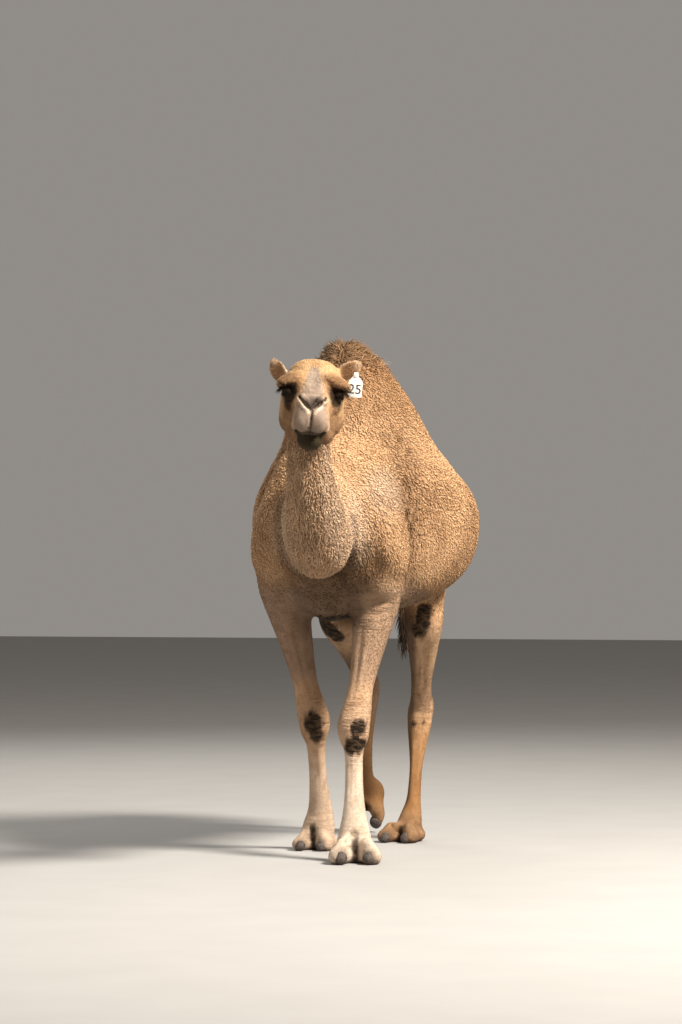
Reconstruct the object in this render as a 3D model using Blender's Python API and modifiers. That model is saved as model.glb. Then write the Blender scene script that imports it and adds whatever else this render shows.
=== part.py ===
"""A life-size one-humped camel caught in mid-stride, modelled as closed solids, one object for each part.

The animal faces -Y, its left side is +X and it stands on Z = 0. Everything is in metres. Its body is built the
way a sculptor blocks out clay: lofts and lumps are fused by a voxel remesh, smoothed, thinned, levelled under
the feet and then parted by thin cuts. Eyes, ears, toenails, the ear tag and the tail are pieces of their own.
"""

import math

import bmesh
import bpy
import numpy as np
from mathutils import Matrix, Vector

# ---------------------------------------------------------------- driving dimensions
GAP = 0.0004  # clearance left between neighbouring solids
VOXEL = 0.014  # grid on which the clay forms fuse
HEAD_TRIANGLES = 1400  # what the fused head is thinned to
BODY_TRIANGLES = 5200  # what the whole fused body is thinned to
BARREL = 0.457  # half the width of the belly at its fullest
HUMP_TOP = 2.045  # height of the tuft on the hump
KNEE_Z = 0.52  # height of the front knees
HOCK_Z = 0.53  # height of the standing hock
EYE_RADIUS = 0.022
HEAD_AT = Vector((0.120, -1.250, 1.778))  # midway between the eyes
HEAD_TURN = math.radians(12.0)  # the face looks to the animal's left,
HEAD_NOD = math.radians(8.0)  # a little down
HEAD_TILT = math.radians(4.5)  # and leans over


# ---------------------------------------------------------------- clay tools
def dense(rows, steps):
    """Catmull-Rom samples through the rows, with steps samples to each span."""
    rows = np.array(rows, float)
    ends = np.vstack([2 * rows[0] - rows[1], rows, 2 * rows[-1] - rows[-2]])
    found = []
    for i in range(len(rows) - 1):
        a, b, c, d = ends[i : i + 4]
        for t in np.arange(steps) / steps:
            found.append(
                0.5 * (2 * b + (c - a) * t + (2 * a - 5 * b + 4 * c - d) * t * t + (3 * b - a - 3 * c + d) * t**3)
            )
    found.append(rows[-1])
    return np.array(found)


def loft(rows, steps=4, sides=24, power=(2.0, 2.0), side=(1, 0, 0), place=None):
    """A closed skin over rings. A row is x, y, z, half width, reach to the back, reach to the belly."""
    rows = dense(rows, steps)
    along = np.gradient(rows[:, :3], axis=0)
    clay = bmesh.new()
    rings = []
    for row, tangent in zip(rows, along, strict=True):
        centre = Vector(row[:3])
        across = Vector(side)
        back = across.cross(Vector(tangent)).normalized()
        ring = []
        for k in range(sides):
            turn = 2 * math.pi * k / sides
            c, s = math.cos(turn), math.sin(turn)
            n = power[0] if s > 0 else power[1]
            x = math.copysign(abs(c) ** (2 / n), c) * row[3]
            y = math.copysign(abs(s) ** (2 / n), s) * (row[4] if s > 0 else row[5])
            ring.append(clay.verts.new(centre + across * x + back * y))
        rings.append(ring)
    for low, high in zip(rings, rings[1:]):
        for k in range(sides):
            clay.faces.new((low[k - 1], low[k], high[k], high[k - 1]))
    clay.faces.new(rings[0])
    clay.faces.new(rings[-1])
    bmesh.ops.recalc_face_normals(clay, faces=clay.faces)
    if place:
        clay.transform(place)
    return clay


def closed(points, steps):
    """Catmull-Rom samples round a closed ring of points."""
    a, b, c, d = (np.roll(points, shift, axis=0) for shift in (1, 0, -1, -2))
    found = []
    for t in np.arange(steps) / steps:
        found.append(
            0.5 * (2 * b + (c - a) * t + (2 * a - 5 * b + 4 * c - d) * t * t + (3 * b - a - 3 * c + d) * t**3)
        )
    return np.stack(found, axis=1).reshape(-1, 2)


def sections(rows, steps=4, place=None):
    """A closed skin over mirrored outlines. A row is y, then x and z down the outline from top to bottom."""
    rows = dense([(y, *(v for point in half for v in point)) for y, half in rows], steps)
    clay = bmesh.new()
    rings = []
    for row in rows:
        half = row[1:].reshape(-1, 2)
        ring = closed(np.vstack([half, half[-2:0:-1] * (-1, 1)]), 3)
        rings.append([clay.verts.new((x, row[0], z)) for x, z in ring])
    for low, high in zip(rings, rings[1:]):
        for k in range(len(low)):
            clay.faces.new((low[k - 1], low[k], high[k], high[k - 1]))
    clay.faces.new(rings[0])
    clay.faces.new(rings[-1])
    bmesh.ops.recalc_face_normals(clay, faces=clay.faces)
    if place:
        clay.transform(place)
    return clay


def lump(centre, radii, turn=(0, 0, 0), place=None, fine=3):
    """An ellipsoid of clay with its three radii along its own axes."""
    clay = bmesh.new()
    bmesh.ops.create_icosphere(clay, subdivisions=fine, radius=1)
    spin = Matrix.Rotation(turn[2], 4, "Z") @ Matrix.Rotation(turn[1], 4, "Y") @ Matrix.Rotation(turn[0], 4, "X")
    clay.transform(Matrix.Translation(centre) @ spin @ Matrix.Diagonal((*radii, 1)))
    if place:
        clay.transform(place)
    return clay


def object_from(clays, name, collection):
    """One object holding the meshes of these clays."""
    mesh = bpy.data.meshes.new(name)
    whole = bmesh.new()
    for clay in clays:
        clay.to_mesh(mesh)
        whole.from_mesh(mesh)
        clay.free()
    whole.to_mesh(mesh)
    whole.free()
    made = bpy.data.objects.new(name, mesh)
    collection.objects.link(made)
    return made


def applied(made):
    """Turns the object's modifiers into its mesh."""
    bpy.context.view_layer.update()
    graph = bpy.context.evaluated_depsgraph_get()
    mesh = bpy.data.meshes.new_from_object(made.evaluated_get(graph), depsgraph=graph)
    made.modifiers.clear()
    made.data = mesh
    return made


# ---------------------------------------------------------------- the body plan
HEAD_PLACE = (
    Matrix.Translation(HEAD_AT)
    @ Matrix.Rotation(HEAD_TURN, 4, "Z")
    @ Matrix.Rotation(HEAD_NOD, 4, "X")
    @ Matrix.Rotation(HEAD_TILT, 4, "Y")
)

TRUNK = [  # x, y, z, half width, up, down
    (0, -0.70, 1.27, 0.06, 0.07, 0.06),
    (0, -0.66, 1.27, 0.13, 0.16, 0.13),
    (0, -0.56, 1.28, 0.21, 0.24, 0.22),
    (0, -0.42, 1.29, 0.275, 0.34, 0.33),
    (0, -0.25, 1.30, 0.340, 0.38, 0.370),
    (0.005, -0.05, 1.31, 0.403, 0.37, 0.370),
    (0.010, 0.12, 1.31, 0.443, 0.35, 0.365),
    (0.012, 0.28, 1.315, BARREL, 0.34, 0.355),
    (0.010, 0.42, 1.32, 0.438, 0.32, 0.330),
    (0, 0.55, 1.33, 0.370, 0.28, 0.260),
    (0, 0.68, 1.34, 0.280, 0.23, 0.200),
    (0, 0.80, 1.33, 0.200, 0.17, 0.160),
    (0, 0.88, 1.31, 0.100, 0.09, 0.090),
]
HUMP = [  # from the tuft down: x, y, z, half width, rear, front
    (-0.050, 0.10, HUMP_TOP, 0.040, 0.040, 0.040),
    (-0.048, 0.10, HUMP_TOP - 0.020, 0.080, 0.090, 0.090),
    (-0.042, 0.10, HUMP_TOP - 0.050, 0.105, 0.130, 0.130),
    (-0.030, 0.10, HUMP_TOP - 0.100, 0.137, 0.180, 0.180),
    (-0.022, 0.10, HUMP_TOP - 0.175, 0.192, 0.245, 0.245),
    (-0.014, 0.10, HUMP_TOP - 0.245, 0.230, 0.305, 0.310),
    (-0.004, 0.10, HUMP_TOP - 0.325, 0.267, 0.360, 0.375),
    (0.012, 0.10, HUMP_TOP - 0.425, 0.302, 0.425, 0.450),
    (0.026, 0.10, HUMP_TOP - 0.535, 0.372, 0.480, 0.510),
    (0.018, 0.10, HUMP_TOP - 0.645, 0.402, 0.490, 0.510),
    (0.010, 0.10, HUMP_TOP - 0.745, 0.360, 0.440, 0.440),
]
NECK = [  # from the head down: x, y, z, half width, nape, throat
    (0.084, -1.085, 1.790, 0.075, 0.080, 0.080),
    (0.076, -1.075, 1.700, 0.080, 0.092, 0.092),
    (0.064, -1.070, 1.600, 0.084, 0.100, 0.102),
    (0.064, -1.050, 1.480, 0.092, 0.110, 0.118),
    (0.066, -0.990, 1.360, 0.114, 0.124, 0.138),
    (0.055, -0.890, 1.275, 0.124, 0.142, 0.165),
    (0.030, -0.750, 1.265, 0.140, 0.170, 0.180),
    (0.010, -0.600, 1.300, 0.170, 0.205, 0.200),
    (0.000, -0.440, 1.350, 0.200, 0.235, 0.230),
]
HEAD = [  # in the head's own frame, from the lips back: y, then half of the outline from top to bottom
    (-0.292, ((0, -0.055), (0.016, -0.057), (0.026, -0.065), (0.030, -0.080), (0.024, -0.094), (0, -0.098))),
    (-0.280, ((0, -0.030), (0.028, -0.035), (0.046, -0.055), (0.052, -0.080), (0.042, -0.104), (0, -0.110))),
    (-0.255, ((0, -0.008), (0.036, -0.012), (0.058, -0.040), (0.064, -0.080), (0.054, -0.110), (0, -0.120))),
    (-0.220, ((0, 0.010), (0.040, 0.007), (0.058, -0.020), (0.066, -0.070), (0.060, -0.118), (0, -0.145))),
    (-0.170, ((0, 0.016), (0.036, 0.012), (0.054, -0.014), (0.064, -0.070), (0.060, -0.125), (0, -0.155))),
    (-0.110, ((0, 0.022), (0.036, 0.018), (0.056, -0.010), (0.072, -0.070), (0.070, -0.130), (0, -0.160))),
    (-0.050, ((0, 0.044), (0.046, 0.038), (0.070, 0.006), (0.090, -0.060), (0.090, -0.135), (0, -0.172))),
    (0.010, ((0, 0.076), (0.062, 0.066), (0.090, 0.020), (0.112, -0.060), (0.104, -0.140), (0, -0.182))),
    (0.065, ((0, 0.112), (0.066, 0.098), (0.106, 0.040), (0.117, -0.050), (0.102, -0.130), (0, -0.172))),
    (0.120, ((0, 0.112), (0.062, 0.098), (0.098, 0.045), (0.104, -0.030), (0.086, -0.105), (0, -0.140))),
    (0.170, ((0, 0.086), (0.048, 0.074), (0.078, 0.032), (0.082, -0.025), (0.064, -0.085), (0, -0.110))),
    (0.210, ((0, 0.046), (0.026, 0.040), (0.042, 0.018), (0.044, -0.015), (0.034, -0.045), (0, -0.060))),
]
TAIL = [  # from the root down: x, y, z, half width, rear, front
    (0.000, 0.800, 1.400, 0.050, 0.040, 0.050),
    (0.000, 0.870, 1.390, 0.042, 0.030, 0.036),
    (0.002, 0.930, 1.320, 0.030, 0.024, 0.024),
    (0.008, 0.955, 1.200, 0.024, 0.020, 0.020),
    (0.015, 0.955, 1.080, 0.022, 0.020, 0.020),
    (0.022, 0.950, 0.980, 0.027, 0.025, 0.025),
    (0.028, 0.945, 0.890, 0.032, 0.028, 0.028),
    (0.030, 0.940, 0.815, 0.022, 0.018, 0.018),
    (0.030, 0.940, 0.770, 0.007, 0.007, 0.007),
]

# A leg's girths: which bone, how far down it, half width, rear, front.
FORE_GIRTHS = [
    (0, -0.25, 0.080, 0.120, 0.110),
    (0, 0.10, 0.100, 0.160, 0.150),
    (0, 0.60, 0.102, 0.165, 0.150),
    (1, 0.00, 0.094, 0.132, 0.118),
    (1, 0.22, 0.080, 0.098, 0.090),
    (1, 0.46, 0.063, 0.068, 0.070),
    (1, 0.70, 0.051, 0.052, 0.055),
    (1, 0.86, 0.060, 0.054, 0.060),
    (2, 0.00, 0.067, 0.056, 0.068),
    (2, 0.16, 0.058, 0.050, 0.060),
    (2, 0.28, 0.040, 0.044, 0.042),
    (2, 0.50, 0.037, 0.044, 0.038),
    (2, 0.75, 0.040, 0.048, 0.040),
    (3, 0.00, 0.052, 0.058, 0.048),
    (3, 0.30, 0.063, 0.066, 0.056),
    (3, 0.58, 0.070, 0.070, 0.058),
    (3, 0.90, 0.070, 0.070, 0.056),
]
HIND_GIRTHS = [
    (0, -0.10, 0.110, 0.150, 0.150),
    (0, 0.35, 0.120, 0.200, 0.190),
    (0, 0.80, 0.090, 0.155, 0.145),
    (1, 0.05, 0.082, 0.138, 0.095),
    (1, 0.30, 0.068, 0.104, 0.066),
    (1, 0.60, 0.049, 0.070, 0.046),
    (1, 0.85, 0.046, 0.062, 0.044),
    (2, 0.00, 0.056, 0.060, 0.050),
    (2, 0.20, 0.050, 0.048, 0.046),
    (2, 0.40, 0.039, 0.040, 0.038),
    (2, 0.62, 0.029, 0.036, 0.032),
    (2, 0.82, 0.029, 0.037, 0.032),
    (3, 0.00, 0.033, 0.044, 0.036),
    (3, 0.32, 0.044, 0.052, 0.044),
    (3, 0.65, 0.054, 0.056, 0.050),
    (3, 0.92, 0.056, 0.056, 0.050),
]
LEGS = {  # the joints from the body down; where its foot stands, how big it is and how far it turns out
    "front_left": (
        FORE_GIRTHS,
        [
            (0.200, -0.40, 1.26),
            (0.172, -0.31, 1.01),
            (0.106, -0.455, KNEE_Z),
            (0.122, -0.52, 0.165),
            (0.124, -0.53, 0.03),
        ],
        ((0.131, -0.545), 1.18, 11),
    ),
    "front_right": (
        FORE_GIRTHS,
        [
            (-0.215, -0.40, 1.26),
            (-0.205, -0.28, 1.01),
            (-0.122, -0.13, KNEE_Z + 0.01),
            (-0.125, -0.005, 0.165),
            (-0.143, 0.02, 0.03),
        ],
        ((-0.144, 0.025), 0.96, -3),
    ),
    "hind_left": (
        HIND_GIRTHS,
        [
            (0.160, 0.61, 1.30),
            (0.222, 0.40, 0.93),
            (0.163, 0.617, HOCK_Z),
            (0.148, 0.545, 0.165),
            (0.130, 0.51, 0.03),
        ],
        ((0.119, 0.49), 0.99, -10),
    ),
    "hind_right": (
        HIND_GIRTHS,
        [
            (-0.150, 0.60, 1.30),
            (-0.140, 0.37, 0.93),
            (-0.106, 0.83, 0.63),
            (-0.124, 0.90, 0.240),
            (-0.128, 0.94, 0.13),
        ],
        (None, 0.97, 0),
    ),
}
RAISED_TOE = (-0.130, 0.965, 0.135)  # where the trailing foot hangs
RAISED_TURN = math.radians(75)


def leg_rows(name):
    """The loft rows of a leg: its girths set out along its bones."""
    girths, joints, _ = LEGS[name]
    joints = [Vector(joint) for joint in joints]
    return [(*joints[bone].lerp(joints[bone + 1], share), *reach) for bone, share, *reach in girths]


def foot_place(name):
    """The frame of a foot: standing with its toes to -Y, or hanging from the trailing leg."""
    stand, size, turn = LEGS[name][2]
    if stand:
        return Matrix.Translation((*stand, 0)) @ Matrix.Rotation(math.radians(turn), 4, "Z") @ Matrix.Scale(size, 4)
    return Matrix.Translation(RAISED_TOE) @ Matrix.Rotation(RAISED_TURN, 4, "X") @ Matrix.Scale(size, 4)


def foot_clays(place):
    """A broad pad under two toes that part towards their tips."""
    clays = [lump((0, 0.024, 0.028), (0.086, 0.082, 0.046), place=place)]
    for hand in (-1, 1):
        spread = math.radians(13) * hand
        clays.append(lump((0.050 * hand, -0.047, 0.025), (0.037, 0.076, 0.038), (0, 0, spread), place))
        clays.append(lump((0.036 * hand, -0.030, 0.048), (0.030, 0.056, 0.036), (math.radians(-24), 0, spread), place))
    return clays


def body_clays():
    """Every form of flesh, in no particular order."""
    clays = [
        loft(TRUNK, sides=32, power=(1.9, 2.5)),
        loft(HUMP, sides=32, power=(2.1, 2.1)),
        loft(NECK),
        loft(TAIL, sides=12),
        sections(HEAD, place=HEAD_PLACE),
        lump((0, -0.34, 0.965), (0.085, 0.13, 0.05)),  # pad of the breastbone
        lump((0, -0.195, -0.148), (0.047, 0.070, 0.044), place=HEAD_PLACE),  # lower lip and chin
        lump((0.01, -0.265, 1.675), (0.14, 0.17, 0.06), (math.radians(48), 0, 0)),  # the hump rises from the withers
        lump((0.005, 0.545, 1.590), (0.15, 0.15, 0.06), (math.radians(-42), 0, 0)),  # and falls to the rump
        lump((0.05, -0.80, 1.385), (0.080, 0.11, 0.045)),  # dip between neck and withers
        lump((0.184, 0.640, 0.605), (0.017, 0.028, 0.110), (math.radians(28), 0, 0)),  # tendons over the hocks
        lump((-0.112, 0.800, 0.700), (0.017, 0.026, 0.110), (math.radians(57), 0, 0)),
        lump((0.193, 0.646, 0.545), (0.023, 0.044, 0.064), (math.radians(12), 0, 0)),  # point of the standing hock
        lump((-0.104, 0.862, 0.652), (0.026, 0.045, 0.056), (math.radians(20), 0, 0)),  # and of the trailing one
    ]
    for hand in (-1, 1):
        lean = math.radians(-18 * hand)
        clays += [
            lump((0.200 * hand, -0.36, 1.32), (0.100, 0.20, 0.25), (math.radians(-14), lean, 0)),  # shoulder
            lump((0.165 * hand, 0.62, 1.30), (0.145, 0.22, 0.24)),  # croup
            lump((0.103 * hand, 0.010, 0.036), (0.038, 0.060, 0.022), (0, math.radians(30 * hand), 0), HEAD_PLACE),
            lump((0.031 * hand, -0.255, -0.076), (0.033, 0.040, 0.046), place=HEAD_PLACE),  # pad of the lip
            lump((0.056 * hand, -0.040, -0.138), (0.034, 0.092, 0.042), place=HEAD_PLACE),  # branch of the jaw
            lump((0.036 * hand, -0.238, 0.002), (0.022, 0.030, 0.018), place=HEAD_PLACE),  # wing of the nose
        ]
    for name in LEGS:
        clays.append(loft(leg_rows(name), sides=20))
        clays += foot_clays(foot_place(name))
    return clays


def thinned(body, chosen, triangles):
    """Thins the chosen vertices alone, down to so many triangles less or more over the whole mesh."""
    group = body.vertex_groups.new(name="chosen")
    for vertex in body.data.vertices:
        group.add([vertex.index], 1.0 if chosen(vertex.co) else 0.0, "REPLACE")
    faces = sum(len(face.vertices) - 2 for face in body.data.polygons)
    thin = body.modifiers.new("thin", "DECIMATE")
    thin.ratio = triangles(faces) / faces
    thin.vertex_group = group.name
    applied(body)
    body.vertex_groups.clear()
    return body


def fused_body(collection):
    """The clay as one closed skin, smoothed and thinned, with more kept for the head."""
    body = object_from(body_clays(), "body", collection)
    remesh = body.modifiers.new("fuse", "REMESH")
    remesh.mode = "VOXEL"
    remesh.voxel_size = VOXEL
    smooth = body.modifiers.new("smooth", "SMOOTH")
    smooth.factor = 0.5
    smooth.iterations = 5
    applied(body)
    inside = HEAD_PLACE.inverted()

    def in_head(point):
        return point.z > 1.5 and (inside @ point).y < 0.15

    fine = sum(len(face.vertices) - 2 for face in body.data.polygons if in_head(face.center))
    thinned(body, in_head, lambda faces: faces - fine + HEAD_TRIANGLES)
    return thinned(body, lambda point: not in_head(point), lambda faces: BODY_TRIANGLES)


# ---------------------------------------------------------------- parting the body into its nodes
# name, middle of the face the region starts from, its size across and fore and aft, its depth, its turn about X
IN_HEAD = ("head", (0, 0.112, -0.070), (0.5, 1.0), 0.6, 54)
REGIONS = [
    ("neck", (0.02, -0.60, 1.30), (0.6, 1.1), 0.9, 88),
    ("hump", (0, 0.10, 1.60), (1.0, 1.30), 0.6, 0),
    ("tail", (0, 0.905, 1.10), (0.3, 0.72), 0.2, -90),
    ("foot_front_left", (0.15, -0.53, 0.165), (0.30, 0.50), 0.4, 180),
    ("leg_front_left_lower", (0.15, -0.50, 0.615), (0.30, 0.50), 0.6, 180),
    ("leg_front_left_upper", (0.17, -0.46, 0.895), (0.32, 0.62), 0.6, 180),
    ("foot_front_right", (-0.16, 0.02, 0.165), (0.30, 0.50), 0.4, 180),
    ("leg_front_right_lower", (-0.16, -0.05, 0.615), (0.30, 0.50), 0.6, 180),
    ("leg_front_right_upper", (-0.18, -0.12, 0.895), (0.34, 0.66), 0.6, 180),
    ("foot_hind_left", (0.16, 0.50, 0.155), (0.28, 0.50), 0.4, 180),
    ("leg_hind_left_lower", (0.18, 0.55, 0.615), (0.34, 0.50), 0.7, 180),
    ("leg_hind_left_upper", (0.20, 0.47, 0.895), (0.36, 0.62), 0.7, 180),
    ("foot_hind_right", (-0.13, 0.95, 0.235), (0.26, 0.40), 0.4, 180),
    ("leg_hind_right_lower", (-0.12, 0.85, 0.700), (0.28, 0.54), 0.8, 180),
    ("leg_hind_right_upper", (-0.16, 0.62, 0.895), (0.30, 0.98), 0.8, 180),
]


def region_box(point, size, depth, turn, grow=0.0, place=None):
    """A box that stands on the region's face, grown on every side."""
    clay = bmesh.new()
    bmesh.ops.create_cube(clay, size=1)
    clay.transform(
        Matrix.Translation(point)
        @ Matrix.Rotation(math.radians(turn), 4, "X")
        @ Matrix.Translation((0, 0, depth / 2))
        @ Matrix.Diagonal((size[0] + 2 * grow, size[1] + 2 * grow, depth + 2 * grow, 1))
    )
    if place:
        clay.transform(place)
    return clay


def cut(target, tool, operation="DIFFERENCE"):
    """Cuts the target with the tool, which is taken away afterwards."""
    change = target.modifiers.new("cut", "BOOLEAN")
    change.operation = operation
    change.solver = "EXACT"
    change.object = tool
    applied(target)
    bpy.data.objects.remove(tool, do_unlink=True)


def part_off(rest, name, collection, *region):
    """Takes the piece inside a region off the rest, leaving the gap between the two."""
    piece = bpy.data.objects.new(name, rest.data.copy())
    collection.objects.link(piece)
    cut(piece, object_from([region_box(*region[:4], 0.0, *region[4:])], "tool", collection), "INTERSECT")
    cut(rest, object_from([region_box(*region[:4], GAP, *region[4:])], "tool", collection))
    return piece


def grown(solid, amount, collection):
    """A copy of a solid swollen along its normals, to cut the pocket it sits in."""
    mesh = solid.data.copy()
    swell = bmesh.new()
    swell.from_mesh(mesh)
    swell.normal_update()
    steps = [vertex.co + vertex.normal * amount for vertex in swell.verts]
    for vertex, place in zip(swell.verts, steps, strict=True):
        vertex.co = place
    swell.to_mesh(mesh)
    swell.free()
    tool = bpy.data.objects.new("tool", mesh)
    collection.objects.link(tool)
    return tool


# ---------------------------------------------------------------- ears, eyes, nails and tag
EAR_ROWS = [  # share of the length, half width, half thickness, hollow
    (-0.20, 0.012, 0.010, 0.000),
    (0.00, 0.020, 0.014, 0.002),
    (0.20, 0.031, 0.013, 0.007),
    (0.45, 0.036, 0.011, 0.010),
    (0.68, 0.031, 0.009, 0.009),
    (0.86, 0.020, 0.007, 0.005),
    (0.97, 0.008, 0.005, 0.001),
]
EARS = {  # in the head's frame: root, tip, and which way the hollow faces
    "ear_left": ((0.088, 0.135, 0.052), (0.172, 0.120, 0.118), (0.25, -1.0, 0.1)),
    "ear_right": ((-0.110, 0.135, 0.020), (-0.162, 0.125, 0.106), (-0.25, -1.0, 0.0)),
}
EYES = {"eye_left": (0.091, -0.008, 0.003), "eye_right": (-0.091, -0.008, 0.003)}
NAIL_AT = (0.045, -0.102, 0.0225)  # on the tip of a toe, in the foot's frame
NAIL_SIZE = (0.022, 0.024, 0.0205)
TAG_AT = (0.153, 0.098, 0.068)  # the stud of the tag, in the head's frame


def frame_of(root, tip, facing):
    """A frame at the root with Z to the tip and -Y to the side it faces."""
    up = (Vector(tip) - Vector(root)).normalized()
    back = -(Vector(facing) - up * Vector(facing).dot(up)).normalized()
    across = back.cross(up)
    return Matrix.Translation(root) @ Matrix((across, back, up)).transposed().to_4x4()


def ear_clay(name, sides=14, steps=2):
    """A leaf of gristle and fur, hollow towards the front."""
    root, tip, facing = EARS[name]
    length = (Vector(tip) - Vector(root)).length
    clay = bmesh.new()
    rings = []
    for share, width, thick, hollow in dense(EAR_ROWS, steps):
        ring = []
        for k in range(sides):
            x = math.cos(2 * math.pi * k / sides)
            y = math.sin(2 * math.pi * k / sides) * thick - hollow * x * x
            ring.append(clay.verts.new((x * width, y, share * length)))
        rings.append(ring)
    for low, high in zip(rings, rings[1:]):
        for k in range(sides):
            clay.faces.new((low[k - 1], low[k], high[k], high[k - 1]))
    clay.faces.new(rings[0])
    clay.faces.new(rings[-1])
    bmesh.ops.recalc_face_normals(clay, faces=clay.faces)
    clay.transform(HEAD_PLACE @ frame_of(root, tip, facing))
    return clay


def pin(radius, start, end, sides=12):
    """A round pin along Y, closed at both ends."""
    clay = bmesh.new()
    bmesh.ops.create_cone(clay, cap_ends=True, segments=sides, radius1=radius, radius2=radius, depth=end - start)
    clay.transform(Matrix.Translation((0, (start + end) / 2, 0)) @ Matrix.Rotation(math.pi / 2, 4, "X"))
    return clay


def plate(outline, start, end):
    """A flat plate with its outline in X and Z, from start to end along Y."""
    clay = bmesh.new()
    front = clay.faces.new([clay.verts.new((x, start, z)) for x, z in outline])
    moved = bmesh.ops.extrude_face_region(clay, geom=[front])["geom"]
    bmesh.ops.translate(clay, verts=[v for v in moved if isinstance(v, bmesh.types.BMVert)], vec=(0, end - start, 0))
    bmesh.ops.recalc_face_normals(clay, faces=clay.faces)
    return clay


TAG_OUTLINE = [(-0.007, 0.010), (-0.010, -0.004), (-0.024, -0.020), (-0.0265, -0.027), (-0.0265, -0.078)]
TAG_OUTLINE += [(-0.022, -0.083)]
TAG_OUTLINE += [(-x, z) for x, z in reversed(TAG_OUTLINE)]


def painted(made, name, color, rough):
    """Gives the object its material."""
    material = bpy.data.materials.new(name)
    material.use_nodes = True
    shader = material.node_tree.nodes["Principled BSDF"]
    shader.inputs["Base Color"].default_value = (*color, 1)
    shader.inputs["Roughness"].default_value = rough
    made.data.materials.clear()
    made.data.materials.append(material)


def main():
    for old in list(bpy.data.objects):
        bpy.data.objects.remove(old, do_unlink=True)
    animal = bpy.data.collections.new("camel")
    bpy.context.scene.collection.children.link(animal)
    body = fused_body(animal)
    body.name = "trunk"

    # level the soles
    cut(body, object_from([region_box((0, 0, 0), (4, 4), 1, 180)], "tool", animal))

    # eyes, ears and nails each sit in a pocket
    pieces = {}
    for name, place in EYES.items():
        pieces[name] = object_from([lump(place, [EYE_RADIUS] * 3, place=HEAD_PLACE, fine=2)], name, animal)
    for name in EARS:
        pieces[name] = object_from([ear_clay(name)], name, animal)
    for leg in LEGS:
        for side, hand in (("outer", 1), ("inner", -1)):
            hand = hand if leg.endswith("left") else -hand
            at = (NAIL_AT[0] * hand, *NAIL_AT[1:])
            clay = lump(at, NAIL_SIZE, (0, 0, math.radians(8 * hand)), foot_place(leg), 2)
            pieces[f"nail_{leg}_{side}"] = object_from([clay], f"nail_{leg}_{side}", animal)
    for name, piece in pieces.items():
        if name.startswith("nail"):
            cut(piece, object_from([region_box((0, 0, 0), (4, 4), 1, 180)], "tool", animal))
        cut(body, grown(piece, 2 * GAP, animal))

    # the tag hangs on a stud through the left ear
    tag_place = HEAD_PLACE @ Matrix.Translation(TAG_AT)
    clay = plate(TAG_OUTLINE, -0.003, -0.0005)
    clay.transform(tag_place)
    tag = object_from([clay], "ear_tag", animal)
    stud = object_from([pin(0.0034, -0.0045, 0.028)], "ear_tag_stud", animal)
    for start, end in ((-0.006, -0.0034), (0.026, 0.029)):
        cut(stud, object_from([pin(0.008, start, end)], "tool", animal), "UNION")
    stud.data.transform(tag_place)
    for solid in (tag, pieces["ear_left"]):
        cut(solid, grown(stud, GAP, animal))

    # thin cuts part the rest
    parts = [part_off(body, IN_HEAD[0], animal, *IN_HEAD[1:], HEAD_PLACE)]
    for name, *region in REGIONS:
        parts.append(part_off(body, name, animal, *region))
    for made in (body, *parts):
        painted(made, made.name, (0.50, 0.35, 0.22), 0.85)
    for name, piece in pieces.items():
        color = (0.02, 0.012, 0.008) if name.startswith("eye") else (0.10, 0.08, 0.06)
        painted(piece, name, (0.52, 0.38, 0.25) if name.startswith("ear") else color, 0.4)
    painted(tag, "ear_tag", (0.85, 0.85, 0.82), 0.4)
    painted(stud, "ear_tag_stud", (0.75, 0.75, 0.72), 0.4)

    # the origin is at the middle of the footprint of the whole animal's box
    solids = (body, *parts, *pieces.values(), tag, stud)
    corners = [vertex.co for solid in solids for vertex in solid.data.vertices]
    low, high = (Vector(fit(c[i] for c in corners) for i in range(3)) for fit in (min, max))
    middle = Matrix.Translation((-(low.x + high.x) / 2, -(low.y + high.y) / 2, 0))
    for solid in solids:
        solid.data.transform(middle)


main()
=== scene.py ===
import math

import bmesh
import bpy
import numpy as np
from mathutils import Matrix, Vector


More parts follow.
